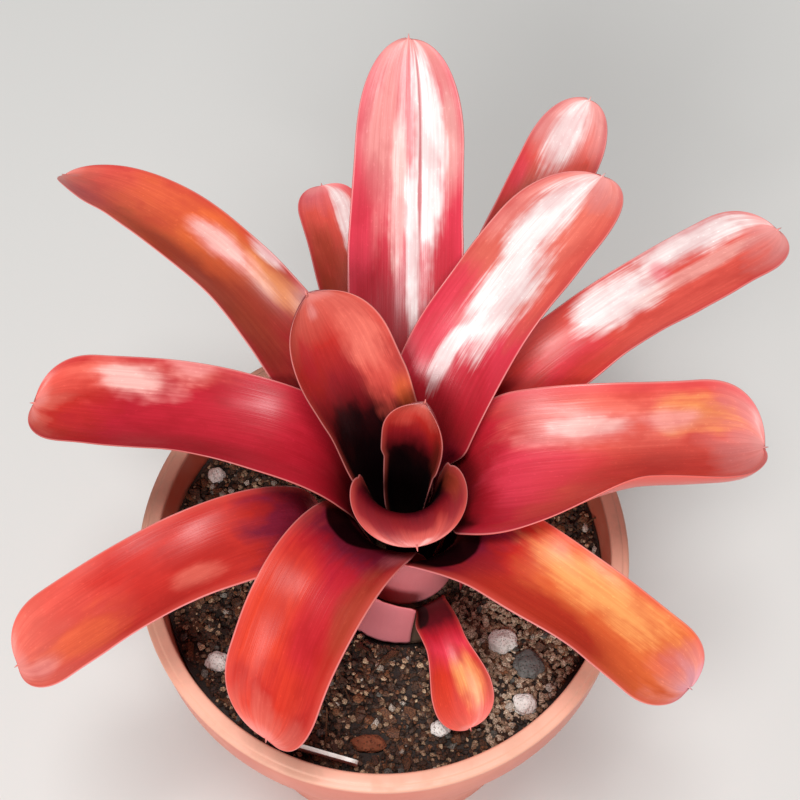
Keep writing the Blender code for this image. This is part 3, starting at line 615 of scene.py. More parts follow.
# Form of each leaf, the inner ones first: millimetres, degrees and shares, with shoulder_height and
# tip_height above the pot's rim. creases: place across, depth and width.
# Looks: stops are the place along and the colour there, from the base to the tip; the nearly black stops at
# the base are painted shade in the tank over the leaves' deep red. patches are the colour, its strength, the
# place across (-1 to 1) and along (0 to 1), the width and the length; the gleam and pale pink ones are
# painted highlights. The near-black spots listed after them are painted shade in the gaps between leaves,
# with the same last four values.
LEAVES = dict(
    leaf_inner_young=dict(
        shell=0, azimuth=62, reach=9, tip_height=60, shoulder_radius=5.2, shoulder_height=30,
        shoulder_rise=86, shoulder_pull=14, tip_rise=78, tip_pull=12, base_width=8, sheath_width=8.5,
        blade_width=8.7, widest_at=0.72, channel=65, tip_channel=50, blend=20,
        stops=[(0, PAINTED_SHADE_BLACK), (0.58, PAINTED_SHADE_BLACK), (0.68, DEEP_RED_AND_SHADE), (0.8, DARK_RED), (0.9, RED), (1, SALMON)],
        patches=[
            (BROWN, 0.8, -0.75, 0.78, 0.4, 0.16), (CORAL, 0.6, 0.55, 0.9, 0.45, 0.08),
            (PAINTED_SHADE_BLACK, 0.9, 0.5, 0.6, 0.6, 0.12),
        ],
        margin=CORAL, under=WINE,
    ),
    leaf_inner_back=dict(
        shell=1, azimuth=127.5, reach=34, tip_height=73, shoulder_radius=9, shoulder_height=34,
        shoulder_rise=76, shoulder_pull=16, tip_rise=60, tip_pull=16, base_width=12, sheath_width=13,
        blade_width=14, widest_at=0.7, channel=65, tip_channel=50, blend=20, left_wrap=0.6,
        stops=[(0, PAINTED_SHADE_BLACK), (0.5, PAINTED_SHADE_BLACK), (0.6, DEEP_RED_AND_SHADE), (0.72, DARK_RED), (0.84, RED), (1, SALMON)],
        patches=[
            (CORAL, 0.9, -0.6, 0.68, 0.55, 0.16), (SALMON, 0.9, -0.55, 0.84, 0.5, 0.16),
            (ORANGE, 0.7, -0.85, 0.62, 0.3, 0.08), (PAINTED_SHADE_BLACK, 0.9, 0.35, 0.6, 0.6, 0.1),
            (CRIMSON, 0.6, 0.55, 0.82, 0.35, 0.1), (PINK, 0.6, 0.05, 0.95, 0.2, 0.04),
        ],
        margin=CORAL, under=WINE,
    ),
    leaf_inner_front=dict(
        shell=2, azimuth=-82, reach=19, tip_height=45, drift=-2, shoulder_radius=8.6, shoulder_height=38,
        shoulder_rise=75, shoulder_pull=6, tip_rise=-5, tip_pull=7, base_width=13, sheath_width=14,
        blade_width=18.4, widest_at=0.8, neck=0.95, flare=8, tip_taper=0.5, channel=85, tip_channel=75,
        blend=300, left_wrap=0.85, right_wrap=0.55,
        stops=[(0, DEEP_RED_AND_SHADE), (0.66, PAINTED_SHADE_BLACK), (0.74, DEEP_RED_AND_SHADE), (0.82, WINE), (0.92, DARK_RED), (1, CORAL)],
        patches=[
            (RUST, 0.7, 0.75, 0.82, 0.25, 0.1), (CORAL, 0.5, 0.15, 0.97, 0.5, 0.04),
            (PINK_PAINTED_HIGHLIGHT, 0.8, 0.3, 0.99, 0.2, 0.02),
        ],
        margin=CORAL, under=WINE,
    ),
    leaf_back_right=dict(
        shell=3, azimuth=66, reach=77, tip_height=64, drift=-15, shoulder_rise=74, shoulder_pull=22,
        tip_rise=12, tip_pull=36, base_width=14, blade_width=12.6, widest_at=0.7, neck=0.95, tip_taper=1.5,
        right_wrap=0.4, left_wrap=0.74,
        stops=[
            (0, DEEP_RED_AND_SHADE), (0.3, WINE), (0.4, DARK_RED), (0.48, CRIMSON), (0.58, CHERRY), (0.7, SALMON),
            (0.9, SALMON), (1, PINK),
        ],
        patches=[
            (CORAL, 0.7, -0.8, 0.76, 0.4, 0.22), (CHERRY, 0.9, 0.7, 0.62, 0.5, 0.17),
            (PINK, 0.5, 0.8, 0.86, 0.35, 0.14), (PAINTED_HIGHLIGHT, 1, -0.1, 0.68, 0.62, 0.17),
            (PAINTED_HIGHLIGHT, 1, 0.28, 0.87, 0.55, 0.19), (PAINTED_HIGHLIGHT, 0.8, 0.2, 0.52, 0.22, 0.1),
        ],
    ),
    leaf_left=dict(
        shell=4, azimuth=167, reach=87, tip_height=38, shoulder_rise=74, shoulder_pull=26, tip_rise=-15,
        tip_pull=36, base_width=16, blade_width=12.5, neck=0.9, channel=45, tip_channel=40, left_wrap=0.63,
        right_wrap=0.76,
        stops=[
            (0, DEEP_RED_AND_SHADE), (0.22, WINE), (0.32, DARK_RED), (0.44, CRIMSON), (0.8, CRIMSON), (0.92, RED),
            (1, SALMON),
        ],
        patches=[
            (CORAL, 0.8, -0.6, 0.9, 0.6, 0.14), (SALMON, 0.8, -0.75, 0.8, 0.5, 0.16),
            # The pink patches at -0.58 and -0.9 across are painted highlights, with the pale pink one.
            (SALMON, 0.7, -0.85, 0.66, 0.4, 0.1), (PINK, 0.9, -0.58, 0.78, 0.5, 0.12),
            (PINK_PAINTED_HIGHLIGHT, 0.7, -0.62, 0.79, 0.34, 0.09), (PINK, 0.9, -0.9, 0.67, 0.4, 0.08),
            (DARK_RED, 0.5, 0.75, 0.6, 0.4, 0.25),
        ],
        specular=0.35, under=RUST,
    ),
    leaf_right=dict(
        shell=5, azimuth=-0.5, reach=81, tip_height=38, drift=9, shoulder_pull=20, tip_rise=-8, tip_pull=34,
        base_width=15, sheath_width=13, blade_width=17.5, neck=1.1, tip_taper=1, channel=45, tip_channel=50,
        right_channel=105, right_tip_channel=90, right_wrap=0.5,
        stops=[
            (0, DEEP_RED_AND_SHADE), (0.28, WINE), (0.37, DARK_RED), (0.45, CRIMSON), (0.6, CORAL), (0.85, CORAL),
            (1, PINK),
        ],
        patches=[
            (CHERRY, 0.8, -0.1, 0.52, 0.55, 0.18), (RED, 0.7, -0.3, 0.74, 0.55, 0.26),
            (SALMON, 0.8, 0.5, 0.72, 0.4, 0.3), (AMBER, 0.8, 0.55, 0.85, 0.34, 0.13),
            # The pink patch at 0.42 across and 0.62 along is the rim of the painted highlight laid over it.
            (PINK, 0.9, 0.42, 0.62, 0.26, 0.16), (PINK_PAINTED_HIGHLIGHT, 0.7, 0.45, 0.63, 0.14, 0.12),
            (PINK, 0.8, 0.5, 0.8, 0.2, 0.12), (PAINTED_SHADE_BLACK, 0.8, -0.85, 0.37, 0.4, 0.06),
        ],
        margin=CHERRY, under=CORAL,
    ),
    leaf_front_left=dict(
        shell=6, azimuth=-126, reach=61.5, tip_height=24, drift=8, shoulder_rise=60, shoulder_pull=20,
        tip_rise=-50, tip_pull=26, base_width=16, sheath_width=13, blade_width=12.8, widest_at=0.66, neck=1,
        right_wrap=0.69, left_wrap=0.8,
        stops=[
            (0, DEEP_RED_AND_SHADE), (0.44, PLUM), (0.5, PLUM), (0.56, CRIMSON), (0.66, RED), (0.9, RED), (1, SALMON),
        ],
        patches=[
            (SCARLET, 0.7, -0.55, 0.74, 0.7, 0.26), (CRIMSON, 0.6, 0.3, 0.72, 0.6, 0.12),
            (SCARLET, 0.4, 0.25, 0.88, 0.5, 0.1), (RUST, 0.8, 0.85, 0.62, 0.45, 0.2),
            (ROSE, 0.55, 0.85, 0.45, 0.35, 0.08),
        ],
        specular=0.2, painted_shadows=[(-0.3, 0.41, 0.72, 0.075)], margin=CORAL, under=ROSE,
    ),
    leaf_back=dict(
        shell=7, azimuth=90, reach=96, tip_height=74, drift=-1, tip_rise=26, base_width=18, blade_width=14,
        widest_at=0.62, tip_taper=2, channel=35, tip_channel=25, left_trim=0.15, right_trim=0.05,
        stops=[
            (0, DEEP_RED_AND_SHADE), (0.42, DARK_RED), (0.54, CRIMSON), (0.68, CHERRY), (0.8, ROSE), (0.92, ROSE),
            (1, PINK),
        ],
        patches=[
            # The pink patch on the right half is a broad painted highlight.
            (PINK, 0.8, 0.42, 0.82, 0.55, 0.2), (PINK_PAINTED_HIGHLIGHT, 0.6, -0.8, 0.82, 0.3, 0.14),
            (PINK_PAINTED_HIGHLIGHT, 0.7, 0.12, 0.72, 0.22, 0.2), (PAINTED_HIGHLIGHT, 1, -0.38, 0.8, 0.38, 0.28),
            (PAINTED_HIGHLIGHT, 0.9, -0.12, 0.62, 0.2, 0.2), (CHERRY, 0.8, 0.85, 0.66, 0.32, 0.14),
            # The thin crimson patch at -0.24 across is painted shade along the crease.
            (CHERRY, 0.5, -0.85, 0.66, 0.25, 0.12), (CRIMSON, 0.8, -0.24, 0.8, 0.05, 0.34),
        ],
        creases=[(-0.25, 0.35, 1), (0.05, 0.2, 0.8)], margin=CHERRY,
    ),
    leaf_front_right=dict(
        shell=8, azimuth=-42, reach=75, tip_height=24, drift=9.5, shoulder_rise=66, shoulder_pull=20,
        tip_rise=-38, tip_pull=28, base_width=19, sheath_width=16, blade_width=10.9, widest_at=0.68,
        neck=1.05, left_wrap=0.65,
        stops=[
            (0, PINK), (0.24, PINK), (0.34, WINE), (0.47, PLUM), (0.54, RED), (0.62, ORANGE),
            (0.9, ORANGE), (1, PINK),
        ],
        patches=[
            (BRICK, 0.95, -0.75, 0.66, 0.85, 0.3), (AMBER, 0.95, 0.48, 0.74, 0.75, 0.26),
            (SALMON, 0.5, 0.1, 0.92, 0.5, 0.06), (DARK_RED, 0.6, -0.3, 0.5, 0.5, 0.05),
        ],
        specular=0.3, painted_shadows=[(-0.4, 0.405, 0.62, 0.062)], margin=CORAL, tip=LILAC, under=BLUSH,
    ),
    leaf_back_right_lower=dict(
        shell=9, azimuth=63.8, reach=99.5, tip_height=60, shoulder_rise=62, tip_rise=20, base_width=16,
        blade_width=9.8, widest_at=0.72, tip_taper=1.9, channel=35, right_wrap=0.6,
        stops=[(0, DEEP_RED_AND_SHADE), (0.6, WINE), (0.75, RUST), (0.86, CORAL), (0.95, PINK), (1, PINK)],
        patches=[(PAINTED_HIGHLIGHT, 0.9, 0.2, 0.93, 0.62, 0.11), (CHERRY, 0.7, 0.85, 0.8, 0.35, 0.1)],
    ),
    leaf_back_left=dict(
        shell=10, azimuth=130.5, reach=111, tip_height=48, drift=12.5, roll=8, shoulder_rise=62,
        shoulder_pull=35, tip_rise=-25, tip_pull=48, base_width=19, blade_width=10.6, widest_at=0.5,
        tip_taper=4.6, channel=50, tip_channel=40, right_wrap=0.6,
        stops=[(0, DEEP_RED_AND_SHADE), (0.44, DARK_RED), (0.56, RUST), (0.7, ORANGE), (0.92, CORAL), (1, SALMON)],
        patches=[
            (RUST, 0.9, 0.6, 0.62, 0.65, 0.28), (AMBER, 0.5, -0.6, 0.58, 0.4, 0.12),
            # The pink patch at -0.4 across is the rim of the painted highlight laid over it.
            (PINK, 0.9, -0.4, 0.66, 0.4, 0.1), (PINK_PAINTED_HIGHLIGHT, 0.6, -0.42, 0.66, 0.24, 0.07),
            (PAINTED_HIGHLIGHT, 0.85, -0.92, 0.6, 0.22, 0.05), (CRIMSON, 0.6, 0.7, 0.9, 0.5, 0.1),
        ],
        under=PINK,
    ),
    leaf_right_upper=dict(
        shell=11, azimuth=39, reach=105, tip_height=50, drift=-9, shoulder_rise=54, tip_rise=2,
        base_width=19, sheath_width=10, blade_width=10.4, widest_at=0.72, neck=0.95, left_wrap=0.65,
        stops=[(0, DEEP_RED_AND_SHADE), (0.36, DARK_RED), (0.48, RED), (0.64, CORAL), (0.9, CORAL), (1, PINK)],
        patches=[
            (CHERRY, 0.6, -0.1, 0.55, 0.6, 0.1), (PAINTED_HIGHLIGHT, 1, 0.35, 0.68, 0.7, 0.12),
            (PAINTED_HIGHLIGHT, 1, 0.72, 0.86, 0.5, 0.18), (CHERRY, 0.6, 0.4, 0.775, 0.4, 0.03),
            (PINK_PAINTED_HIGHLIGHT, 0.5, 0.05, 0.82, 0.25, 0.2),
        ],
    ),
    leaf_back_small=dict(
        shell=12, azimuth=104.5, reach=80, tip_height=42, shoulder_rise=58, shoulder_pull=14, tip_rise=-5,
        tip_pull=26, base_width=18, blade_width=8, channel=35, left_wrap=0.7,
        stops=[(0, DEEP_RED_AND_SHADE), (0.6, BROWN), (0.76, RUST), (0.9, CORAL), (1, ROSE)],
        patches=[(PAINTED_HIGHLIGHT, 0.9, -0.45, 0.88, 0.4, 0.17), (RUST, 0.6, 0.35, 0.8, 0.4, 0.1)],
    ),
    leaf_left_lower=dict(
        shell=14.6, azimuth=-156, reach=93, tip_height=23.5, shoulder_radius=21.4, shoulder_height=27.6,
        tip_rise=-32, tip_pull=40, base_width=25, blade_width=10.8, widest_at=0.7, neck=1, drop_start=19,
        drop_end=26, channel=35, left_wrap=0.98, right_wrap=0.8,
        stops=[
            (0, BLUSH), (0.26, BLUSH), (0.36, PLUM), (0.45, PLUM), (0.52, RED), (0.72, RED),
            (0.88, CORAL), (1, SALMON),
        ],
        patches=[
            (ORANGE, 0.5, 0.3, 0.85, 0.6, 0.14), (RED, 0.6, 0, 0.68, 0.6, 0.08),
            (SALMON, 0.6, 0.4, 0.62, 0.4, 0.06), (PINK, 0.5, 0.5, 0.95, 0.4, 0.06),
        ],
        specular=0.35, margin=CORAL, under=BLUSH,
    ),
    leaf_front_small=dict(
        shell=9.3, azimuth=-69, reach=46, tip_height=-6, drift=-1, shoulder_radius=17, shoulder_height=-2,
        shoulder_rise=40, shoulder_pull=10, tip_rise=-35, tip_pull=14, base_width=5.5, sheath_width=5,
        blade_width=8, neck=0.7, channel=45, blend=12, right_wrap=0.6,
        stops=[
            (0, WINE), (0.28, WINE), (0.38, CRIMSON), (0.48, CHERRY), (0.62, RED), (0.9, CORAL),
            (1, SALMON),
        ],
        patches=[
            (AMBER, 0.95, 0.4, 0.72, 0.6, 0.25), (SCARLET, 0.6, -0.6, 0.7, 0.5, 0.24),
            (RUST, 0.7, 0.92, 0.75, 0.15, 0.2),
        ],
        painted_shadows=[(-1, 0.14, 0.95, 0.2)], specular=0.35, margin=CORAL, under=WINE,
    ),
)


def build_leaves():
    for seed, (name, row) in enumerate(LEAVES.items(), 1):
        build_leaf(name, {**PLAIN_LEAF, **row}, float(seed))


# Pot

def pot_material():
    material, tree, shader = new_material("pot_plastic", 0.42)
    place = object_place(tree)
    dust = use_group(tree, DUST, Place=place, Amount=0.45)
    broad = clouds(tree, place, 45.0, 3.0, 0.5)
    colour = blend(tree, fade(tree, broad, 0.35, 0.65), tint(238, 132, 104), tint(226, 110, 84))
    level = put(tree, "ShaderNodeSeparateXYZ", {0: place}).outputs["Z"]
    # The top of the rim is painted lighter: painted light on its lit edge.
    painted_rim_light = fade(tree, level, POT_HEIGHT - 2.2 * MM, POT_HEIGHT - 0.2 * MM, 0.0, 0.8)
    colour = blend(tree, painted_rim_light, colour, tint(252, 194, 168))
    colour = blend(tree, times(tree, dust["Scuffs"], 0.25), colour, tint(240, 160, 134))
    colour = blend(tree, dust["Mask"], colour, tint(220, 170, 144))
    paint(tree, shader, colour, plus(tree, 0.38, times(tree, dust["Mask"], 0.5)))
    set_bump(tree, shader, clouds(tree, place, 2600.0), 0.12, 0.1 * MM)
    return material


def build_pot():
    """Thin shell of the pot with rounded edges, a stepped rim turned down outside, and drain holes."""
    skirt_end = POT_HEIGHT - RIM_SKIRT_DEPTH
    under_rim = POT_HEIGHT - RIM_THICKNESS
    step = RIM_INNER_RADIUS + RIM_STEP_WIDTH
    step_height = POT_HEIGHT - RIM_STEP_DEPTH
    # Radius, height and corner radius
    profile = [
        (0.0, FLOOR, 0.0),
        (WALL_LOW_INNER_RADIUS - FLOOR_CORNER_WIDTH, FLOOR, 0.6 * MM),
        (WALL_LOW_INNER_RADIUS, FLOOR_CORNER_HEIGHT, 0.6 * MM),
        (WALL_TOP_INNER_RADIUS, skirt_end, 2.0 * MM),
        (RIM_INNER_RADIUS, POT_HEIGHT, 0.7 * MM),
        (step - 0.35 * MM, POT_HEIGHT, 0.2 * MM),
        (step, step_height, 0.15 * MM),
        (RIM_OUTER_RADIUS, step_height, 0.7 * MM),
        (RIM_OUTER_RADIUS - 0.7 * MM, skirt_end, 0.45 * MM),
        (RIM_OUTER_RADIUS - 2.1 * MM, skirt_end, 0.35 * MM),
        (RIM_OUTER_RADIUS - 1.7 * MM, under_rim, 0.4 * MM),
        (RIM_INNER_RADIUS + WALL, under_rim, 0.5 * MM),
        (WALL_TOP_INNER_RADIUS + WALL, skirt_end, 1.0 * MM),
        (BASE_OUTER_RADIUS, 1.2 * MM, 0.5 * MM),
        (BASE_OUTER_RADIUS - 1.1 * MM, 0.0, 0.3 * MM),
        (0.0, 0.0, 0.0),
    ]
    shape = bmesh.new()
    line = []
    for index, (radius, height, corner) in enumerate(profile[1:-1], 1):
        here = Vector((radius, 0.0, height))
        ends = []
        for side_radius, side_height, _ in (profile[index - 1], profile[index + 1]):
            side = Vector((side_radius, 0.0, side_height)) - here
            ends.append(here + side.normalized() * min(corner, 0.45 * side.length))
        for share in (0.0, 0.25, 0.5, 0.75, 1.0):
            line.append(ends[0].lerp(here, share).lerp(here.lerp(ends[1], share), share))
    points = [shape.verts.new(point) for point in line]
    edges = [shape.edges.new(pair) for pair in zip(points[:-1], points[1:])]
    bmesh.ops.spin(
        shape, geom=points + edges, axis=(0.0, 0.0, 1.0), angle=math.tau, steps=POT_STEPS, use_merge=True,
    )
    bmesh.ops.remove_doubles(shape, verts=shape.verts[:], dist=0.000002)
    angles = [math.tau * (index + 0.5) / DRAIN_HOLES for index in range(DRAIN_HOLES)]
    places = [Vector((math.cos(angle), math.sin(angle), 0.0)) * DRAIN_HOLE_CIRCLE for angle in angles]
    for level in (Vector((0.0, 0.0, 0.0)), Vector((0.0, 0.0, FLOOR))):
        for place in places:
            matrix = Matrix.Translation(place + level)
            bmesh.ops.create_circle(shape, segments=DRAIN_HOLE_STEPS, radius=DRAIN_HOLE_RADIUS, matrix=matrix)
        flat = [
            edge for edge in shape.edges
            if len(edge.link_faces) < 2 and all(abs(end.co.z - level.z) < 0.01 * MM for end in edge.verts)
        ]
        bmesh.ops.triangle_fill(shape, use_beauty=True, edges=flat)
    for place in places:
        rims = [
            edge for edge in shape.edges
            if edge.is_boundary and (edge.verts[0].co - place).xy.length < 1.1 * DRAIN_HOLE_RADIUS
        ]
        bmesh.ops.bridge_loops(shape, edges=rims)
    bmesh.ops.recalc_face_normals(shape, faces=shape.faces[:])
    pot = add_piece("pot_shell", shape, pot_material(), "pot")
    pot.data.set_sharp_from_angle(angle=math.radians(40.0))


# Soil, grains, stones and bark

def crumb_material(name, dark, light, scale, roughness):
    """Material of loose crumbs, whose own tone is an attribute."""
    material, tree, shader = new_material(name, roughness)
    tone = put(tree, "ShaderNodeAttribute", attribute_name="tone").outputs["Fac"]
    grit = use_group(tree, GRIT, Place=object_place(tree), Scale=scale)
    share = plus(tree, times(tree, tone, 0.7), times(tree, grit["Coarse"], 0.3))
    colour = blend(tree, share, dark, light)
    shade = blend(tree, 1.0, colour, tint(150, 140, 132), "MULTIPLY")
    paint(tree, shader, blend(tree, fade(tree, grit["Fine"], 0.62, 0.4), colour, shade))
    height = plus(tree, grit["Coarse"], times(tree, grit["Fine"], 0.5))
    set_bump(tree, shader, height, 0.6, 0.25 * MM)
    return material


def soil_level(surface, x, y):
    """Height of the soil at a place, or of the stem's crown where that is higher."""
    hit = surface.ray_cast(Vector((x, y, POT_HEIGHT)), Vector((0.0, 0.0, -1.0)))[0]
    level = SOIL_TOP if hit is None else hit.z
    reach = math.hypot(x - PLANT_X, y)
    return max(level, CONE_TOP - reach) if reach < CROWN_RADIUS + CROWN_GAP else level


# Stones in millimetres: x, y, width, depth and height, then the seed of their lumps
STONES = {
    "pumice_right": (28.9, -20.6, 7.4, 5.8, 4.6, 1.0),
    "stone_grey": (35.2, -26.4, 7.0, 7.2, 4.8, 2.0),
    "pumice_front_right": (33.9, -36.2, 6.2, 5.4, 4.4, 3.0),
    "pumice_front": (13.7, -42.0, 4.8, 4.2, 3.6, 4.0),
    "pumice_left": (-40.4, -25.4, 5.6, 5.0, 4.2, 5.0),
    "pumice_back_left": (-43.4, 24.6, 4.6, 4.4, 3.8, 6.0),
    "bark_chip": (-3.4, -45.5, 8.0, 4.4, 3.0, 7.0),
}
# Crumbs made before they join the rest, which keeps each operator quick
BATCH = 40
CRUMB_ROUGHNESS = 0.13
CHIP_ROUGHNESS = 0.26


def make_crumb(shape, draw, form, flat):
    """Vertices of one crumb, chip or fibre of unit size, how it is stretched, and how rough it is."""
    if form == "crumb":
        made = bmesh.ops.create_icosphere(shape, subdivisions=1, radius=0.5)
        longer = (draw.uniform(0.8, 1.3), draw.uniform(0.7, 1.1), draw.uniform(0.5, 0.9) * flat)
        return made["verts"], Vector(longer), CRUMB_ROUGHNESS
    if form == "chip":
        made = bmesh.ops.create_cube(shape, size=1.0)
        longer = (draw.uniform(0.9, 1.7), draw.uniform(0.4, 0.9), draw.uniform(0.2, 0.45))
        return made["verts"], Vector(longer), CHIP_ROUGHNESS
    made = bmesh.ops.create_cone(
        shape, cap_ends=True, segments=5, radius1=0.5, radius2=0.4, depth=1.0,
        matrix=Matrix.Rotation(math.pi / 2.0, 4, "Y"),
    )
    return made["verts"], Vector((draw.uniform(4.0, 9.0), 0.35, 0.35)), CRUMB_ROUGHNESS


def near_stone(x, y, size):
    return any(
        math.hypot(x - stone[0] * MM, y - stone[1] * MM) < 0.42 * max(stone[2:4]) * MM + 0.3 * size
        for stone in STONES.values()
    )


def scatter(name, surface, count, sizes, material, seed, form="crumb", lift=0.2, flat=0.8,
            around=None):
    """Loose crumbs as one mesh, each turned its own way and lying in the soil's surface.

    sizes are the least and most in millimetres. around keeps them to a part of a ring about the plant:
    its radii in millimetres and angles in degrees.
    """
    draw = random.Random(seed)
    whole = bmesh.new()
    shape = bmesh.new()
    tone_layer = shape.verts.layers.float.new("tone")
    placed = 0
    while placed < count:
        radius = SOIL_RADIUS * math.sqrt(draw.random())
        angle = draw.uniform(0.0, math.tau)
        x = radius * math.cos(angle)
        y = radius * math.sin(angle)
        size = draw.uniform(*sizes) * MM
        if around:
            reach = draw.uniform(*around[0]) * MM
            angle = math.radians(draw.uniform(*around[1]))
            x = PLANT_X + reach * math.cos(angle)
            y = reach * math.sin(angle)
            radius = math.hypot(x, y)
        elif math.hypot(x - PLANT_X, y) < CROWN_RADIUS + CROWN_GAP + 0.4 * size:
            continue
        if radius > SOIL_RADIUS - 0.45 * size or near_stone(x, y, size):
            continue
        vertices, longer, rough = make_crumb(shape, draw, form, flat)
        tone = draw.random() ** 1.6
        turn = Euler((draw.gauss(0.0, 0.35), draw.gauss(0.0, 0.3), draw.uniform(0.0, math.tau))).to_matrix()
        level = soil_level(surface, x, y) + lift * size
        centre = Vector((x, y, level + draw.uniform(-0.1, 0.35) * MM))
        for vertex in vertices:
            jitter = Vector([draw.uniform(-rough, rough) for _ in range(3)])
            vertex.co = centre + turn @ ((vertex.co + jitter) * size * longer)
            vertex[tone_layer] = tone
        placed += 1
        if placed % BATCH == 0 or placed == count:
            batch = bpy.data.meshes.new("batch")
            shape.to_mesh(batch)
            whole.from_mesh(batch)
            bpy.data.meshes.remove(batch)
            shape.clear()
            tone_layer = shape.verts.layers.float.get("tone") or shape.verts.layers.float.new("tone")
    shape.free()
    add_piece(name, whole, material, smooth=False)


def stone_material(name, dark, light, scale, pit_shade_strength, roughness):
    material, tree, shader = new_material(name, roughness)
    grit = use_group(tree, GRIT, Place=object_place(tree), Scale=scale)
    colour = blend(tree, grit["Coarse"], dark, light)
    # The pits are painted darker, as painted shade in them.
    painted_shade = blend(tree, 1.0, colour, tint(150, 138, 124), "MULTIPLY")
    pit_shade_share = times(tree, minus(tree, 1.0, grit["Pits"]), pit_shade_strength)
    paint(tree, shader, blend(tree, pit_shade_share, colour, painted_shade))
    height = plus(tree, grit["Pits"], times(tree, grit["Fine"], 0.4))
    set_bump(tree, shader, height, 0.7, 0.3 * MM)
    return material


def build_stone(name, material, slot):
    x, y, width, depth, tall, seed = STONES[name]
    shape = bmesh.new()
    bmesh.ops.create_icosphere(shape, subdivisions=5, radius=0.5)
    low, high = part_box(name)
    centre = Vector((x * MM, y * MM, 0.5 * (low[2] + high[2])))
    size = Vector((width, depth, tall)) * MM
    for vertex in shape.verts:
        bump = 1.0 + 0.22 * noise.noise(vertex.co * 3.1 + Vector((seed, 0.0, 0.0)))
        fine = 0.05 * noise.noise(vertex.co * 9.0 + Vector((seed, 5.0, 0.0)))
        pits = 0.035 * min(0.0, noise.noise(vertex.co * 22.0 + Vector((seed, 0.0, 3.0))))
        vertex.co = centre + vertex.co * (bump + fine + pits) * size
    bmesh.ops.recalc_face_normals(shape, faces=shape.faces[:])
    add_piece(name + "_grain", shape, material, name)


def build_soil():
    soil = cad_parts["soil"].data
    corners = [vertex.co for vertex in soil.vertices]
    surface = BVHTree.FromPolygons(corners, [face.vertices for face in soil.polygons])
    humus = crumb_material("humus_crumbs", tint(20, 12, 8), tint(118, 82, 58), 700.0, 0.7)
    brown = crumb_material("bark_crumbs", tint(64, 36, 22), tint(158, 104, 66), 800.0, 0.7)
    tan = crumb_material("tan_grit", tint(108, 74, 50), tint(248, 216, 176), 900.0, 0.6)
    sand = crumb_material("pale_sand", tint(168, 132, 102), tint(250, 232, 206), 900.0, 0.6)
    white = crumb_material("small_pumice", tint(176, 166, 150), tint(240, 234, 222), 1200.0, 0.9)
    grey = crumb_material("grey_grit", tint(74, 74, 70), tint(150, 148, 138), 900.0, 0.6)
    fibre = crumb_material("fibres", tint(84, 52, 30), tint(150, 104, 66), 900.0, 0.8)
    dress_node("soil", humus)
    scatter("soil_crumbs", surface, 6000, (0.9, 2.1), humus, 11)
    scatter("soil_fine_crumbs", surface, 3000, (0.5, 1.3), brown, 12, lift=0.6)
    scatter("soil_crown_crumbs", surface, 700, (1.2, 2.4), humus, 18,
            around=((12.0, 21.5), (-74.0, 118.0)))
    scatter("soil_pale_sand", surface, 1700, (0.6, 1.8), sand, 20, lift=0.6,
            around=((16.0, 52.0), (-66.0, -6.0)))
    scatter("soil_bark_lumps", surface, 240, (1.5, 3.4), brown, 19, lift=0.3, flat=0.7)
    scatter("soil_bark_bits", surface, 110, (1.3, 3.0), brown, 13, form="chip", lift=0.3)
    scatter("soil_tan_grit", surface, 2100, (0.5, 1.6), tan, 14, lift=0.6)
    scatter("soil_small_pumice", surface, 190, (0.8, 2.4), white, 15, lift=0.45)
    scatter("soil_grey_grit", surface, 150, (0.8, 2.2), grey, 16, lift=0.4)
    scatter("soil_fibres", surface, 70, (0.9, 1.6), fibre, 17, form="fibre", lift=0.6)
    pumice = stone_material("pumice_stone", tint(238, 233, 224), tint(255, 253, 248), 900.0, 0.4, 0.9)
    stone = stone_material("grey_rock", tint(84, 84, 82), tint(128, 128, 124), 700.0, 0.4, 0.7)
    bark = stone_material("bark_piece", tint(96, 44, 26), tint(160, 92, 58), 600.0, 0.6, 0.85)
    others = {"stone_grey": (stone, "grey_stone"), "bark_chip": (bark, "bark")}
    for name in STONES:
        build_stone(name, *others.get(name, (pumice, "pumice")))


# Stem and label

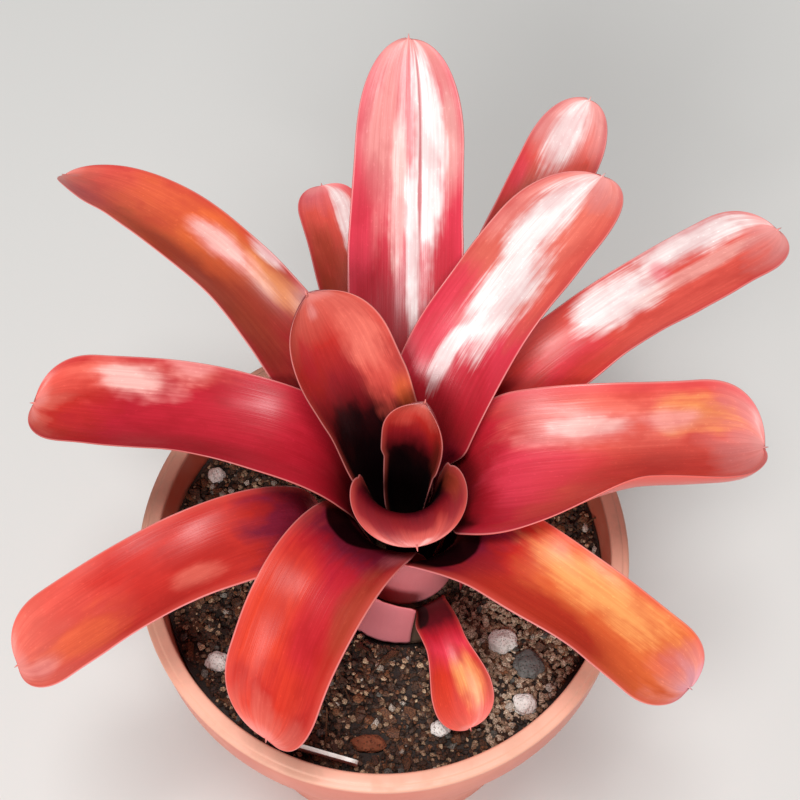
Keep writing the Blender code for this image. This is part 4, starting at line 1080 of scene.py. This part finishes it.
def dress_stem():
    material, tree, shader = new_material("stem_tissue", 0.75)
    grit = use_group(tree, GRIT, Place=object_place(tree), Scale=260.0)
    paint(tree, shader, blend(tree, grit["Coarse"], tint(40, 24, 17), tint(104, 72, 50)))
    set_bump(tree, shader, grit["Fine"], 0.6, 0.4 * MM)
    dress_node("stem", material)


def dress_label():
    material, tree, shader = new_material("label_plastic", 0.35)
    dust = use_group(tree, DUST, Place=object_place(tree), Amount=0.5)
    colour = blend(tree, dust["Mask"], tint(242, 240, 234), tint(186, 168, 146))
    paint(tree, shader, colour, plus(tree, 0.32, times(tree, dust["Mask"], 0.5)))
    dress_node("plant_label", material)


# Studio

def aim(item, place, target):
    item.location = place
    item.rotation_mode = "QUATERNION"
    item.rotation_quaternion = (target - place).to_track_quat("-Z", "Y")


def add_light(name, place, size, power):
    """Round soft light aimed at the plant. Place and size are in metres, and power is in watts."""
    data = bpy.data.lights.new(name, "AREA")
    data.shape = "DISK"
    data.size = size
    data.energy = power
    aim(add_object(name, data), Vector(place), LIGHT_TARGET)


def build_studio():
    scene = bpy.context.scene
    data = bpy.data.cameras.new("camera")
    data.lens = CAMERA_LENS
    data.clip_start = 0.01
    data.clip_end = 20.0
    camera = add_object("camera", data)
    aim(camera, CAMERA_PLACE, CAMERA_TARGET)
    scene.camera = camera

    world = bpy.data.worlds.new("studio")
    world.use_nodes = True
    background = world.node_tree.nodes["Background"].inputs
    background["Color"].default_value = (1.0, 1.0, 1.0, 1.0)
    background["Strength"].default_value = WORLD_STRENGTH
    scene.world = world
    scene.view_settings.view_transform = "Standard"
    scene.view_settings.look = "None"

    add_light("key", (-0.05, -0.10, 1.28), 0.36, 7.5)
    add_light("front", (-0.25, -1.0, 1.0), 0.5, 10.0)

    shape = bmesh.new()
    bmesh.ops.create_grid(shape, x_segments=1, y_segments=1, size=3.0)
    floor = add_object("floor", shape)
    material, _, shader = new_material("floor_paint", 0.9)
    shader.inputs["Base Color"].default_value = tint(232, 231, 228)
    floor.data.materials.append(material)


build_studio()
build_pot()
build_soil()
dress_stem()
dress_label()
build_leaves()
